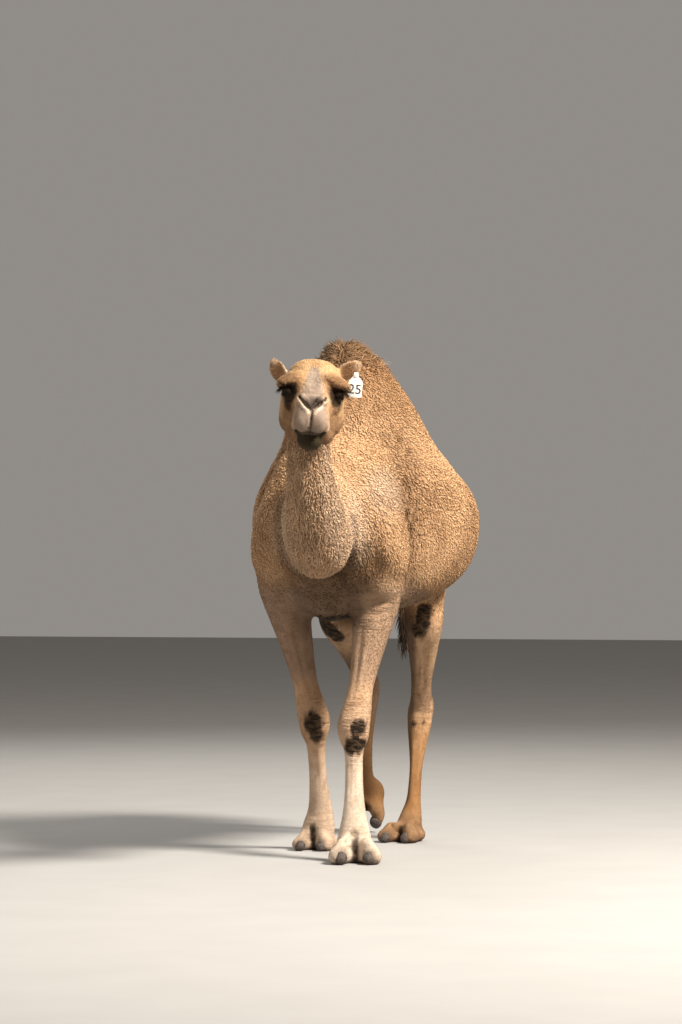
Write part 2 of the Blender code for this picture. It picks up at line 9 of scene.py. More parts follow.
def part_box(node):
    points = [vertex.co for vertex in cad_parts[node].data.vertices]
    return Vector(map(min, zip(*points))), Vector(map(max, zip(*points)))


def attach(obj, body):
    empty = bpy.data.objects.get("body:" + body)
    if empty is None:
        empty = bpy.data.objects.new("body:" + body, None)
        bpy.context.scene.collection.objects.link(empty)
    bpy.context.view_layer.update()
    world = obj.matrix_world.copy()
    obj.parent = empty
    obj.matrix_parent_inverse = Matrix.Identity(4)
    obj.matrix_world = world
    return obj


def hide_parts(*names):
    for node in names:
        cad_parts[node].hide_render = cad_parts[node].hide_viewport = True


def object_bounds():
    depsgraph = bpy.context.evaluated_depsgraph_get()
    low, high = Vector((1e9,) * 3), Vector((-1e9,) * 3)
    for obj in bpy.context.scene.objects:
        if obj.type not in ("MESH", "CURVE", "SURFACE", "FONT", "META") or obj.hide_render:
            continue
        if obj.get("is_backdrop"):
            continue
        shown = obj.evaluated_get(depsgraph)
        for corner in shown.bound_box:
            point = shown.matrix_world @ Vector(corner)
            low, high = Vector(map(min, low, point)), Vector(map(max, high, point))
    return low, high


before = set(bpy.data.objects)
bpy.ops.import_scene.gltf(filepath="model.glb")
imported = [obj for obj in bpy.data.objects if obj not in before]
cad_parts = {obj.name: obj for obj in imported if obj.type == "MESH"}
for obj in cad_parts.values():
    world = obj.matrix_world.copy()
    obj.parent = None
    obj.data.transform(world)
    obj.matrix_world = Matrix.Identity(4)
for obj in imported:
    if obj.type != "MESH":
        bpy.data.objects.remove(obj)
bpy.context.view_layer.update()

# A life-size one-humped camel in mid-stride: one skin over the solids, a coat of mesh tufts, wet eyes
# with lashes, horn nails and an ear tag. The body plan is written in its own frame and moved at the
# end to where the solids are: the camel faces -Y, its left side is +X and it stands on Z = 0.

# ---------------------------------------------------------------- driving dimensions
BARREL = 0.457  # half the width of the belly at its fullest
HUMP_TOP = 2.045  # height of the tuft on the hump
KNEE_Z = 0.52
HOCK_Z = 0.53
EYE_RADIUS = 0.022
HEAD_AT = Vector((0.120, -1.250, 1.778))  # midway between the eyes
HEAD_TURN = math.radians(12.0)  # the face looks to the animal's left,
HEAD_NOD = math.radians(8.0)  # a little down
HEAD_TILT = math.radians(4.5)  # and leans over
VOXEL = 0.0055  # grid on which the clay forms fuse
BODY_TRIANGLES = 42500  # what the skin behind the head keeps
FEET_TRIANGLES = 13000
WOOL_DEPTH = 0.009  # how far the skin lies under the tips of the wool,
FUR_DEPTH = 0.0025  # of the short fur,
TUFT_DEPTH = 0.022  # of the tuft on the hump
EAR_DEPTH = 0.001  # and of the ears' fur
HEAD_ABOVE = 1.5  # in front of the hump, only the head is higher than this
TRAILING_BEHIND = 0.80  # of what is low, only the trailing foot is further back than this
SIDES = (("left", 1), ("right", -1))  # with the sign of X there

HEAD_PLACE = (
    Matrix.Translation(HEAD_AT)
    @ Matrix.Rotation(HEAD_TURN, 4, "Z")
    @ Matrix.Rotation(HEAD_NOD, 4, "X")
    @ Matrix.Rotation(HEAD_TILT, 4, "Y")
)
EYE_AT = Vector((0.091, -0.008, 0.003))  # the left eye, in the head's frame
low, high = (Vector(corner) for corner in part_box("eye_left"))
PLAN_TO_FRAME = (low + high) / 2 - HEAD_PLACE @ EYE_AT  # from the plan's origin to the solids'


# ---------------------------------------------------------------- clay tools
def curve(a, b, c, d, t):
    """A Catmull-Rom curve from b to c, with a before and d after them, at the share t of its way."""
    return 0.5 * (2 * b + (c - a) * t + (2 * a - 5 * b + 4 * c - d) * t * t + (3 * b - a - 3 * c + d) * t**3)


def dense(rows, steps):
    """Samples of a curve through the rows, with steps samples to each span."""
    rows = np.array(rows, float)
    ends = np.vstack([2 * rows[0] - rows[1], rows, 2 * rows[-1] - rows[-2]])
    found = [curve(*ends[i : i + 4], t) for i in range(len(rows) - 1) for t in np.arange(steps) / steps]
    return np.array([*found, rows[-1]])


def closed(points, steps):
    """Samples of a curve round a closed ring of points."""
    near = [np.roll(points, shift, axis=0) for shift in (1, 0, -1, -2)]
    return np.stack([curve(*near, t) for t in np.arange(steps) / steps], axis=1).reshape(-1, 2)


def skinned(rings, place=None):
    """A closed clay form over rings of points."""
    clay = bmesh.new()
    rings = [[clay.verts.new(point) for point in ring] for ring in rings]
    for low_ring, high_ring in zip(rings, rings[1:]):
        for k in range(len(low_ring)):
            clay.faces.new((low_ring[k - 1], low_ring[k], high_ring[k], high_ring[k - 1]))
    clay.faces.new(rings[0])
    clay.faces.new(rings[-1])
    bmesh.ops.recalc_face_normals(clay, faces=clay.faces)
    if place:
        clay.transform(place)
    return clay


def loft(rows, steps=6, sides=32, power=(2.0, 2.0)):
    """A clay form over rings. A row is x, y, z, half width, reach to the back, reach to the belly."""
    rows = dense(rows, steps)
    along = np.gradient(rows[:, :3], axis=0)
    across = Vector((1, 0, 0))
    rings = []
    for row, tangent in zip(rows, along, strict=True):
        back = across.cross(Vector(tangent)).normalized()
        ring = []
        for k in range(sides):
            turn = 2 * math.pi * k / sides
            c = math.cos(turn)
            s = math.sin(turn)
            n, reach = (power[0], row[4]) if s > 0 else (power[1], row[5])
            x = math.copysign(abs(c) ** (2 / n), c) * row[3]
            y = math.copysign(abs(s) ** (2 / n), s) * reach
            ring.append(Vector(row[:3]) + across * x + back * y)
        rings.append(ring)
    return skinned(rings)


def sections(rows, steps=5, place=None):
    """A clay form over mirrored outlines. A row is y, then x and z down the outline from top to bottom."""
    rings = []
    for row in dense([(y, *(v for point in half for v in point)) for y, half in rows], steps):
        half = row[1:].reshape(-1, 2)
        ring = closed(np.vstack([half, half[-2:0:-1] * (-1, 1)]), 4)
        rings.append([(x, row[0], z) for x, z in ring])
    return skinned(rings, place)


def lump(centre, radii, turn=(0, 0, 0), place=None):
    """An ellipsoid of clay with its three radii along its own axes, turned by degrees."""
    clay = bmesh.new()
    bmesh.ops.create_icosphere(clay, subdivisions=4, radius=1)
    turns = [Matrix.Rotation(math.radians(angle), 4, axis) for angle, axis in zip(turn, "XYZ", strict=True)]
    spin = turns[2] @ turns[1] @ turns[0]
    clay.transform(Matrix.Translation(centre) @ spin @ Matrix.Diagonal((*radii, 1)))
    if place:
        clay.transform(place)
    return clay


def paired(rows, hand, place=None):
    """The lumps of one side, from rows of middle, radii and turn that are written for the left."""
    clays = []
    for (x, y, z), radii, (pitch, roll, yaw) in rows:
        clays.append(lump((x * hand, y, z), radii, (pitch, roll * hand, yaw * hand), place))
    return clays


# ---------------------------------------------------------------- the body plan
TRUNK = [  # x, y, z, half width, up, down
    (0, -0.70, 1.27, 0.06, 0.07, 0.06),
    (0, -0.66, 1.27, 0.13, 0.16, 0.13),
    (0, -0.56, 1.28, 0.21, 0.24, 0.22),
    (0, -0.42, 1.29, 0.275, 0.34, 0.33),
    (0, -0.25, 1.30, 0.340, 0.38, 0.370),
    (0.005, -0.05, 1.31, 0.403, 0.37, 0.370),
    (0.010, 0.12, 1.31, 0.443, 0.35, 0.365),
    (0.012, 0.28, 1.315, BARREL, 0.34, 0.355),
    (0.010, 0.42, 1.32, 0.438, 0.32, 0.330),
    (0, 0.55, 1.33, 0.370, 0.28, 0.260),
    (0, 0.68, 1.34, 0.280, 0.23, 0.200),
    (0, 0.80, 1.33, 0.200, 0.17, 0.160),
    (0, 0.88, 1.31, 0.100, 0.09, 0.090),
]
HUMP = [  # from the tuft down: x, y, z, half width, rear, front
    (-0.050, 0.10, HUMP_TOP, 0.040, 0.040, 0.040),
    (-0.048, 0.10, HUMP_TOP - 0.020, 0.080, 0.090, 0.090),
    (-0.042, 0.10, HUMP_TOP - 0.050, 0.105, 0.130, 0.130),
    (-0.030, 0.10, HUMP_TOP - 0.100, 0.137, 0.180, 0.180),
    (-0.022, 0.10, HUMP_TOP - 0.175, 0.192, 0.245, 0.245),
    (-0.014, 0.10, HUMP_TOP - 0.245, 0.230, 0.305, 0.310),
    (-0.004, 0.10, HUMP_TOP - 0.325, 0.267, 0.360, 0.375),
    (0.012, 0.10, HUMP_TOP - 0.425, 0.302, 0.425, 0.450),
    (0.026, 0.10, HUMP_TOP - 0.535, 0.372, 0.480, 0.510),
    (0.018, 0.10, HUMP_TOP - 0.645, 0.402, 0.490, 0.510),
    (0.010, 0.10, HUMP_TOP - 0.745, 0.360, 0.440, 0.440),
]
NECK = [  # from the head down: x, y, z, half width, nape, throat
    (0.084, -1.085, 1.790, 0.075, 0.080, 0.080),
    (0.076, -1.075, 1.700, 0.080, 0.092, 0.092),
    (0.064, -1.070, 1.600, 0.084, 0.100, 0.102),
    (0.064, -1.050, 1.480, 0.092, 0.110, 0.118),
    (0.066, -0.990, 1.360, 0.114, 0.124, 0.138),
    (0.055, -0.890, 1.275, 0.124, 0.142, 0.165),
    (0.030, -0.750, 1.265, 0.140, 0.170, 0.180),
    (0.010, -0.600, 1.300, 0.170, 0.205, 0.200),
    (0.000, -0.440, 1.350, 0.200, 0.235, 0.230),
]
HEAD = [  # in the head's own frame, from the lips back: y, then half of the outline from top to bottom
    (-0.292, ((0, -0.055), (0.016, -0.057), (0.026, -0.065), (0.030, -0.080), (0.024, -0.094), (0, -0.098))),
    (-0.280, ((0, -0.030), (0.028, -0.035), (0.046, -0.055), (0.052, -0.080), (0.042, -0.104), (0, -0.110))),
    (-0.255, ((0, -0.008), (0.036, -0.012), (0.058, -0.040), (0.064, -0.080), (0.054, -0.110), (0, -0.120))),
    (-0.220, ((0, 0.010), (0.040, 0.007), (0.058, -0.020), (0.066, -0.070), (0.060, -0.118), (0, -0.145))),
    (-0.170, ((0, 0.016), (0.036, 0.012), (0.054, -0.014), (0.064, -0.070), (0.060, -0.125), (0, -0.155))),
    (-0.110, ((0, 0.022), (0.036, 0.018), (0.056, -0.010), (0.072, -0.070), (0.070, -0.130), (0, -0.160))),
    (-0.050, ((0, 0.044), (0.046, 0.038), (0.070, 0.006), (0.090, -0.060), (0.090, -0.135), (0, -0.172))),
    (0.010, ((0, 0.076), (0.062, 0.066), (0.090, 0.020), (0.112, -0.060), (0.104, -0.140), (0, -0.182))),
    (0.065, ((0, 0.112), (0.066, 0.098), (0.106, 0.040), (0.117, -0.050), (0.102, -0.130), (0, -0.172))),
    (0.120, ((0, 0.112), (0.062, 0.098), (0.098, 0.045), (0.104, -0.030), (0.086, -0.105), (0, -0.140))),
    (0.170, ((0, 0.086), (0.048, 0.074), (0.078, 0.032), (0.082, -0.025), (0.064, -0.085), (0, -0.110))),
    (0.210, ((0, 0.046), (0.026, 0.040), (0.042, 0.018), (0.044, -0.015), (0.034, -0.045), (0, -0.060))),
]
NAIL_AT = (0.045, -0.102, 0.0225)  # in the foot's frame
NAIL_SIZE = (0.0215, 0.024, 0.0215)
TAIL = [  # from the root down: x, y, z, half width, rear, front
    (0.000, 0.800, 1.400, 0.050, 0.040, 0.050),
    (0.000, 0.870, 1.390, 0.042, 0.030, 0.036),
    (0.002, 0.930, 1.320, 0.030, 0.024, 0.024),
    (0.008, 0.955, 1.200, 0.024, 0.020, 0.020),
    (0.015, 0.955, 1.080, 0.022, 0.020, 0.020),
    (0.022, 0.950, 0.980, 0.027, 0.025, 0.025),
    (0.028, 0.945, 0.890, 0.032, 0.028, 0.028),
    (0.030, 0.940, 0.815, 0.022, 0.018, 0.018),
    (0.030, 0.940, 0.770, 0.007, 0.007, 0.007),
]

# A leg's girths: which bone, how far down it, half width, rear, front.
FORE_GIRTHS = [
    (0, -0.25, 0.080, 0.120, 0.110),
    (0, 0.10, 0.100, 0.160, 0.150),
    (0, 0.60, 0.102, 0.165, 0.150),
    (1, 0.00, 0.094, 0.132, 0.118),
    (1, 0.22, 0.080, 0.098, 0.090),
    (1, 0.46, 0.063, 0.068, 0.070),
    (1, 0.70, 0.051, 0.052, 0.055),
    (1, 0.86, 0.060, 0.054, 0.060),
    (2, 0.00, 0.067, 0.056, 0.068),
    (2, 0.16, 0.058, 0.050, 0.060),
    (2, 0.28, 0.040, 0.044, 0.042),
    (2, 0.50, 0.037, 0.044, 0.038),
    (2, 0.75, 0.040, 0.048, 0.040),
    (3, 0.00, 0.052, 0.058, 0.048),
    (3, 0.30, 0.063, 0.066, 0.056),
    (3, 0.58, 0.070, 0.070, 0.058),
    (3, 0.90, 0.070, 0.070, 0.056),
]
HIND_GIRTHS = [
    (0, -0.10, 0.110, 0.150, 0.150),
    (0, 0.35, 0.120, 0.200, 0.190),
    (0, 0.80, 0.090, 0.155, 0.145),
    (1, 0.05, 0.082, 0.138, 0.095),
    (1, 0.30, 0.068, 0.104, 0.066),
    (1, 0.60, 0.049, 0.070, 0.046),
    (1, 0.85, 0.046, 0.062, 0.044),
    (2, 0.00, 0.056, 0.060, 0.050),
    (2, 0.20, 0.050, 0.048, 0.046),
    (2, 0.40, 0.039, 0.040, 0.038),
    (2, 0.62, 0.029, 0.036, 0.032),
    (2, 0.82, 0.029, 0.037, 0.032),
    (3, 0.00, 0.033, 0.044, 0.036),
    (3, 0.32, 0.044, 0.052, 0.044),
    (3, 0.65, 0.054, 0.056, 0.050),
    (3, 0.92, 0.056, 0.056, 0.050),
]
LEGS = {  # girths; the joints from the body down; where the foot stands, its size, how far it turns out
    "front_left": (
        FORE_GIRTHS,
        [
            (0.200, -0.40, 1.26), (0.172, -0.31, 1.01), (0.106, -0.455, KNEE_Z),
            (0.122, -0.52, 0.165), (0.124, -0.53, 0.03),
        ],
        ((0.131, -0.545), 1.18, 11),
    ),
    "front_right": (
        FORE_GIRTHS,
        [
            (-0.215, -0.40, 1.26), (-0.205, -0.28, 1.01), (-0.122, -0.13, KNEE_Z + 0.01),
            (-0.125, -0.005, 0.165), (-0.143, 0.02, 0.03),
        ],
        ((-0.144, 0.025), 0.96, -3),
    ),
    "hind_left": (
        HIND_GIRTHS,
        [
            (0.160, 0.61, 1.30), (0.222, 0.40, 0.93), (0.163, 0.617, HOCK_Z),
            (0.148, 0.545, 0.165), (0.130, 0.51, 0.03),
        ],
        ((0.119, 0.49), 0.99, -10),
    ),
    "hind_right": (
        HIND_GIRTHS,
        [
            (-0.150, 0.60, 1.30), (-0.140, 0.37, 0.93), (-0.106, 0.83, 0.63),
            (-0.124, 0.90, 0.240), (-0.128, 0.94, 0.13),
        ],
        (None, 0.97, 0),
    ),
}
RAISED_TOE = (-0.130, 0.965, 0.135)  # where the trailing foot hangs
RAISED_TURN = math.radians(75)

LUMPS = [  # middle, radii, turn in degrees
    ((0, -0.34, 0.965), (0.085, 0.13, 0.05)),  # pad of the breastbone
    ((0, -0.195, -0.148), (0.047, 0.070, 0.044), (0, 0, 0), HEAD_PLACE),  # lower lip and chin
    ((0.01, -0.265, 1.675), (0.14, 0.17, 0.06), (48, 0, 0)),  # the hump rises from the withers
    ((0.005, 0.545, 1.590), (0.15, 0.15, 0.06), (-42, 0, 0)),  # and falls to the rump
    ((0.05, -0.80, 1.385), (0.080, 0.11, 0.045)),  # dip between neck and withers
    ((0.184, 0.640, 0.605), (0.017, 0.028, 0.110), (28, 0, 0)),  # tendons over the hocks
    ((-0.112, 0.800, 0.700), (0.017, 0.026, 0.110), (57, 0, 0)),
    ((0.193, 0.646, 0.545), (0.023, 0.044, 0.064), (12, 0, 0)),  # point of the standing hock
    ((-0.104, 0.862, 0.652), (0.026, 0.045, 0.056), (20, 0, 0)),  # and of the trailing one
]
BODY_PAIRS = [
    ((0.200, -0.36, 1.32), (0.100, 0.20, 0.25), (-14, -18, 0)),  # shoulder
    ((0.165, 0.62, 1.30), (0.145, 0.22, 0.24), (0, 0, 0)),  # croup
]
HEAD_PAIRS = [
    ((0.103, 0.010, 0.036), (0.038, 0.060, 0.022), (0, 30, 0)),  # brow
    ((0.031, -0.255, -0.076), (0.033, 0.040, 0.046), (0, 0, 0)),  # pad of the lip
    ((0.056, -0.040, -0.138), (0.034, 0.092, 0.042), (0, 0, 0)),  # branch of the jaw
    ((0.036, -0.238, 0.002), (0.022, 0.030, 0.018), (0, 0, 0)),  # wing of the nose
]
SKIN_PAIRS = [  # what the skin adds to the forms of the head
    (EYE_AT, [EYE_RADIUS * 1.13] * 3, (0, 0, 0)),  # mound of the eye
    ((0.078, 0.012, 0.046), (0.050, 0.064, 0.026), (0, 24, 0)),  # brow
    ((0.108, -0.008, 0.032), (0.022, 0.044, 0.013), (0, 34, 0)),  # its outer edge
    ((0.088, -0.018, -0.044), (0.016, 0.058, 0.014), (10, 0, 0)),  # cheekbone
    ((0.025, -0.264, -0.092), (0.023, 0.029, 0.026), (0, 0, 0)),  # lip
]
TOE = [
    ((0.050, -0.047, 0.025), (0.037, 0.076, 0.038), (0, 0, 13)),
    ((0.036, -0.030, 0.048), (0.030, 0.056, 0.036), (-24, 0, 13)),
]

EAR_ROWS = [  # share of the length, half width, half thickness, hollow
    (-0.20, 0.012, 0.010, 0.000),
    (0.00, 0.020, 0.014, 0.002),
    (0.20, 0.031, 0.013, 0.007),
    (0.45, 0.036, 0.011, 0.010),
    (0.68, 0.031, 0.009, 0.009),
    (0.86, 0.020, 0.007, 0.005),
    (0.97, 0.008, 0.005, 0.001),
]
EARS = {  # in the head's frame: root, tip, and which way the hollow faces
    "ear_left": ((0.088, 0.135, 0.052), (0.172, 0.120, 0.118), (0.25, -1.0, 0.1)),
    "ear_right": ((-0.110, 0.135, 0.020), (-0.162, 0.125, 0.106), (-0.25, -1.0, 0.0)),
}


def leg_rows(name):
    """The loft rows of a leg: its girths set out along its bones."""
    girths, joints, _ = LEGS[name]
    joints = [Vector(joint) for joint in joints]
    return [(*joints[bone].lerp(joints[bone + 1], share), *reach) for bone, share, *reach in girths]


def foot_place(name):
    """The frame of a foot: standing with its toes to -Y, or hanging from the trailing leg."""
    stand, size, turn = LEGS[name][2]
    if stand:
        place = Matrix.Translation((*stand, 0)) @ Matrix.Rotation(math.radians(turn), 4, "Z")
    else:
        place = Matrix.Translation(RAISED_TOE) @ Matrix.Rotation(RAISED_TURN, 4, "X")
    return place @ Matrix.Scale(size, 4)


def foot_clays(place):
    """A broad pad under two toes that part towards their tips."""
    pad = lump((0, 0.024, 0.028), (0.086, 0.082, 0.046), place=place)
    return [pad, *paired(TOE, -1, place), *paired(TOE, 1, place)]


def body_clays():
    """Every form of flesh but the ears."""
    clays = [
        loft(TRUNK, sides=32, power=(1.9, 2.5)),
        loft(HUMP, sides=32, power=(2.1, 2.1)),
        loft(NECK),
        loft(TAIL, sides=12),
        sections(HEAD, place=HEAD_PLACE),
    ]
    clays += [lump(*row) for row in LUMPS]
    for hand in (-1, 1):
        clays += paired(BODY_PAIRS, hand) + paired(HEAD_PAIRS, hand, HEAD_PLACE)
    for name in LEGS:
        clays.append(loft(leg_rows(name), sides=20))
        clays += foot_clays(foot_place(name))
    return clays


def frame_of(root, tip, facing):
    """A frame at the root with +Z to the tip and -Y turned to the side that it faces."""
    up = (Vector(tip) - Vector(root)).normalized()
    across = up.cross(Vector(facing)).normalized()
    return Matrix.Translation(root) @ Matrix((across, up.cross(across), up)).transposed().to_4x4()


def ear_clay(name, sides=28, steps=6):
    """A leaf of gristle, hollow towards the front."""
    root, tip, facing = EARS[name]
    length = (Vector(tip) - Vector(root)).length
    rings = []
    for share, width, thick, hollow in dense(EAR_ROWS, steps):
        ring = []
        for k in range(sides):
            x = math.cos(2 * math.pi * k / sides)
            y = math.sin(2 * math.pi * k / sides) * thick - hollow * x * x
            ring.append((x * width, y, share * length))
        rings.append(ring)
    return skinned(rings, HEAD_PLACE @ frame_of(root, tip, facing))


# ---------------------------------------------------------------- camera, floor and light
def deselected():
    for chosen in bpy.context.selected_objects:
        chosen.select_set(False)


def kept(name):
    """The object just made, under its name, with its place in its mesh."""
    bpy.ops.object.transform_apply(location=True, rotation=True, scale=True)
    made = bpy.context.object
    made.name = name
    made.data.name = name
    deselected()
    return made


CAMERA_TURN = math.radians(12.0)
CAMERA_BACK = 15.65
CAMERA_ASIDE = 0.040
CAMERA_HEIGHT = 1.28
deselected()
ahead = Vector((-math.sin(CAMERA_TURN), math.cos(CAMERA_TURN), 0))
aside = Vector((math.cos(CAMERA_TURN), math.sin(CAMERA_TURN), 0))
bpy.ops.object.camera_add(
    location=PLAN_TO_FRAME - ahead * CAMERA_BACK - aside * CAMERA_ASIDE + Vector((0, 0, CAMERA_HEIGHT)),
    rotation=(math.pi / 2, 0, CAMERA_TURN),
)
camera = bpy.context.object
camera.data.lens = 138.16
camera.data.sensor_width = 36
camera.data.shift_y = 0.0166
camera.data.clip_end = 100
bpy.context.scene.camera = camera


LAMPS = [  # name, azimuth in degrees, height, distance, size, watts, tint
    ("key_light", 64, 6.8, 5.8, 1.8, 2350, (1.0, 0.93, 0.84)),
    ("fill_light", -50, 3.2, 7.5, 5.0, 230, (1.0, 0.96, 0.92)),
    ("back_light", 205, 5.5, 6.5, 4.0, 290, (1.0, 0.98, 0.94)),
]
MIDDLE = Vector((0, 0, 1.1))  # of the animal, where the lamps look
for name, azimuth, height, away, size, power, tint in LAMPS:
    turn = math.radians(azimuth)
    at = Vector((math.sin(turn) * away, -math.cos(turn) * away, height))
    bpy.ops.object.light_add(type="AREA", location=at)
    lamp = bpy.context.object
    lamp.name = name
    lamp.data.size = size
    lamp.data.energy = power
    lamp.data.color = tint
    lamp.rotation_euler = (MIDDLE - at).to_track_quat("-Z", "Y").to_euler()
world = bpy.data.worlds.new("studio")
world.use_nodes = True
world.node_tree.nodes["Background"].inputs["Color"].default_value = (0.94, 0.88, 0.82, 1)
world.node_tree.nodes["Background"].inputs["Strength"].default_value = 0.30
bpy.context.scene.world = world
bpy.context.scene.view_settings.view_transform = "Standard"


# ---------------------------------------------------------------- shader maths
class Wire:
    """A shader socket that takes part in sums."""

    def __init__(self, finish, socket):
        self.finish = finish
        self.socket = socket

    def __add__(self, other):
        return self.finish.sum("ADD", self, other)

    def __sub__(self, other):
        return self.finish.sum("SUBTRACT", self, other)

    def __rsub__(self, other):
        return self.finish.sum("SUBTRACT", other, self)

    def __mul__(self, other):
        return self.finish.sum("MULTIPLY", self, other)

    def __pow__(self, other):
        return self.finish.sum("POWER", self, other)

    __radd__ = __add__
    __rmul__ = __mul__


class Finish:
    """One material and what feeds its shader."""

    def __init__(self, name):
        self.material = bpy.data.materials.new(name)
        self.material.use_nodes = True
        self.tree = self.material.node_tree
        self.shader = self.tree.nodes["Principled BSDF"]

    def feed(self, socket, value):
        if isinstance(value, Wire):
            self.tree.links.new(value.socket, socket)
        else:
            socket.default_value = value

    def node(self, kind, settings=(), sockets=(), out=0):
        """Any node: its settings first, then the values or links of its sockets."""
        made = self.tree.nodes.new("ShaderNode" + kind)
        for name, value in dict(settings).items():
            setattr(made, name, value)
        for name, value in dict(sockets).items():
            self.feed(made.inputs[name], value)
        return Wire(self, made.outputs[out])

    def sum(self, operation, a, b):
        return self.node("Math", {"operation": operation}, {0: a, 1: b})

    def ramp(self, value, low, high):
        """0 below low, 1 above high, smooth between."""
        sockets = {"Value": value, "From Min": low, "From Max": high}
        return self.node("MapRange", {"interpolation_type": "SMOOTHSTEP"}, sockets)

    def mix(self, factor, a, b, blend="MIX"):
        """A colour between two, by a factor."""
        a, b = ((*c, 1.0) if isinstance(c, tuple) else c for c in (a, b))
        return self.node("Mix", {"data_type": "RGBA", "blend_type": blend}, {0: factor, 6: a, 7: b}, 2)

    def own(self, name):
        """A number that the mesh carries."""
        return self.node("Attribute", {"attribute_name": name}, out=2)

    def place(self, stretch=(1, 1, 1)):
        """Object coordinates, stretched."""
        return self.node("Mapping", (), {"Vector": self.node("TexCoord", out=3), "Scale": stretch})

    def noise(self, scale, detail, stretch=(1, 1, 1)):
        return self.node("TexNoise", (), {"Vector": self.place(stretch), "Scale": scale, "Detail": detail})

    def cells(self, scale, stretch=(1, 1, 1)):
        return self.node("TexVoronoi", (), {"Vector": self.place(stretch), "Scale": scale})

    def bump(self, height, strength, distance, under=None):
        sockets = {"Height": height, "Strength": strength, "Distance": distance}
        if under:
            sockets["Normal"] = under
        return self.node("Bump", (), sockets)

    def shade(self, gloss=0.5, **sockets):
        for name, value in sockets.items():
            self.feed(self.shader.inputs[name.replace("_", " ").title()], value)
        self.shader.inputs["Specular IOR Level"].default_value = gloss
        return self.material


# the colours of the coat
TAN = (0.66, 0.415, 0.225)
TAN_DEEP = (0.43, 0.25, 0.13)
TINTS = {  # of the marks, in the order in which one covers another
    "gold": (0.46, 0.29, 0.145),
    "umber": (0.19, 0.098, 0.046),
    "rust": (0.245, 0.118, 0.042),
    "grey": (0.27, 0.215, 0.175),
    "cream": (0.58, 0.465, 0.36),
    "brown": (0.010, 0.006, 0.0035),
    "olive": (0.013, 0.010, 0.004),
}
MOTTLE = (0.60, 0.52, 0.44)  # darkens patches
UNDERCOAT = (0.09, 0.055, 0.03)
WOOL_GAP_SHADE = (0.10, 0.058, 0.032)  # painted shade between the locks
CRACK = (0.22, 0.13, 0.065)  # in the leather pads
ROOT_SHADE = (0.42, 0.36, 0.31)  # darkens a lock at its root
BLEACHED = (0.80, 0.66, 0.50)  # what the sun does to its tip
DARK_STRAND = (0.12, 0.075, 0.045)
FLOOR = (0.27, 0.263, 0.253)
FLOOR_DUST = (0.31, 0.303, 0.293)


def coat_colour(finish, grain):
    """Ground and markings of the coat, the same on skin and on tufts."""
    patch = finish.noise(2.3, 4.0)
    mottled = finish.noise(26, 4.0, (1, 1, 0.6))
    colour = finish.mix(finish.ramp(patch * 0.7 + grain * 0.3, 0.36, 0.66), TAN_DEEP, TAN)
    for name, tint in TINTS.items():
        colour = finish.mix(finish.own(name), colour, tint)
    return finish.mix(finish.ramp(mottled, 0.44, 0.66) * 0.45, colour, MOTTLE, "MULTIPLY")


def skin_finish():
    """Short flat fur and, under the wool, painted shade in the gaps between the locks."""
    finish = Finish("short fur")
    fine = finish.noise(420, 4.0, (1, 1, 0.35))
    clumps = finish.noise(90, 3.0, (1, 1, 0.5))
    curls = finish.cells(75)
    woolly = finish.own("woolly")
    colour = coat_colour(finish, clumps)
    lit = 1 - finish.own("brown") * 0.85
    colour = finish.mix(finish.ramp(fine, 0.3, 0.75) * lit * 0.35, colour, UNDERCOAT)
    # painted shade: the skin between the locks of wool is darkened
    colour = finish.mix(woolly * 0.5, colour, WOOL_GAP_SHADE)
    wrinkles = finish.noise(26, 2.0, (1, 1, 4))
    height = fine * 0.25 + clumps * 0.3 + wrinkles * 0.35 - curls * woolly * 0.6
    bare = finish.own("bare")
    leather = finish.cells(160, (1, 1, 1.6))
    cracks = finish.ramp(finish.noise(34, 3.0, (1, 1, 2.6)), 0.40, 0.60)
    colour = finish.mix(bare * cracks * 0.20, colour, CRACK)
    folds = finish.noise(30, 2.0, (0.35, 0.35, 2.2))
    creased = finish.own("creased")
    normal = finish.bump(height, 0.55, 0.003)
    normal = finish.bump(folds * creased, 0.9, 0.016, normal)
    normal = finish.bump((leather * 0.5 + cracks) * bare, 0.9, 0.006, normal)
    return finish.shade(0.14, base_color=colour, roughness=0.90 - bare * 0.05, normal=normal)


def coat_finish(name, strand=500, flat=0.0):
    """Locks: dark at the root, sun-bleached at the tip, each a little different; flat fur less so."""
    finish = Finish(name)
    luck = finish.own("luck")
    tip = finish.own("tip")
    colour = coat_colour(finish, luck)
    shadow = finish.mix(1.0 - flat, colour, ROOT_SHADE, "MULTIPLY")
    pale = (1 - finish.own("brown")) * (1 - finish.own("olive")) * (0.7 - 0.4 * flat)
    bleached = finish.mix(0.30, colour, BLEACHED)
    colour = finish.mix(finish.ramp(tip, 0.0, 0.55), shadow, colour)
    colour = finish.mix(finish.ramp(tip + luck * 0.5 - 0.25, 0.55, 1.1) * pale, colour, bleached)
    fine = finish.noise(strand, 2.0)
    lit = 1 - finish.own("brown") * 0.85
    colour = finish.mix(finish.ramp(fine, 0.35, 0.7) * lit * 0.25, colour, DARK_STRAND)
    return finish.shade(0.12, base_color=colour, roughness=0.9, normal=finish.bump(fine, 0.4, 0.002))


def floor_finish():
    finish = Finish("pale floor")
    dust = finish.noise(3.0, 5.0)
    colour = finish.mix(dust, FLOOR, FLOOR_DUST)
    return finish.shade(base_color=colour, roughness=0.9)


bpy.ops.mesh.primitive_plane_add(size=60, location=(0, 0, 0))
floor = kept("floor")
floor.data.materials.append(floor_finish())
floor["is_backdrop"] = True


# ---------------------------------------------------------------- the skin
def set_points(mesh, points):
    """Moves the points of a mesh to new places."""
    mesh.vertices.foreach_set("co", points.astype(np.float32).ravel())


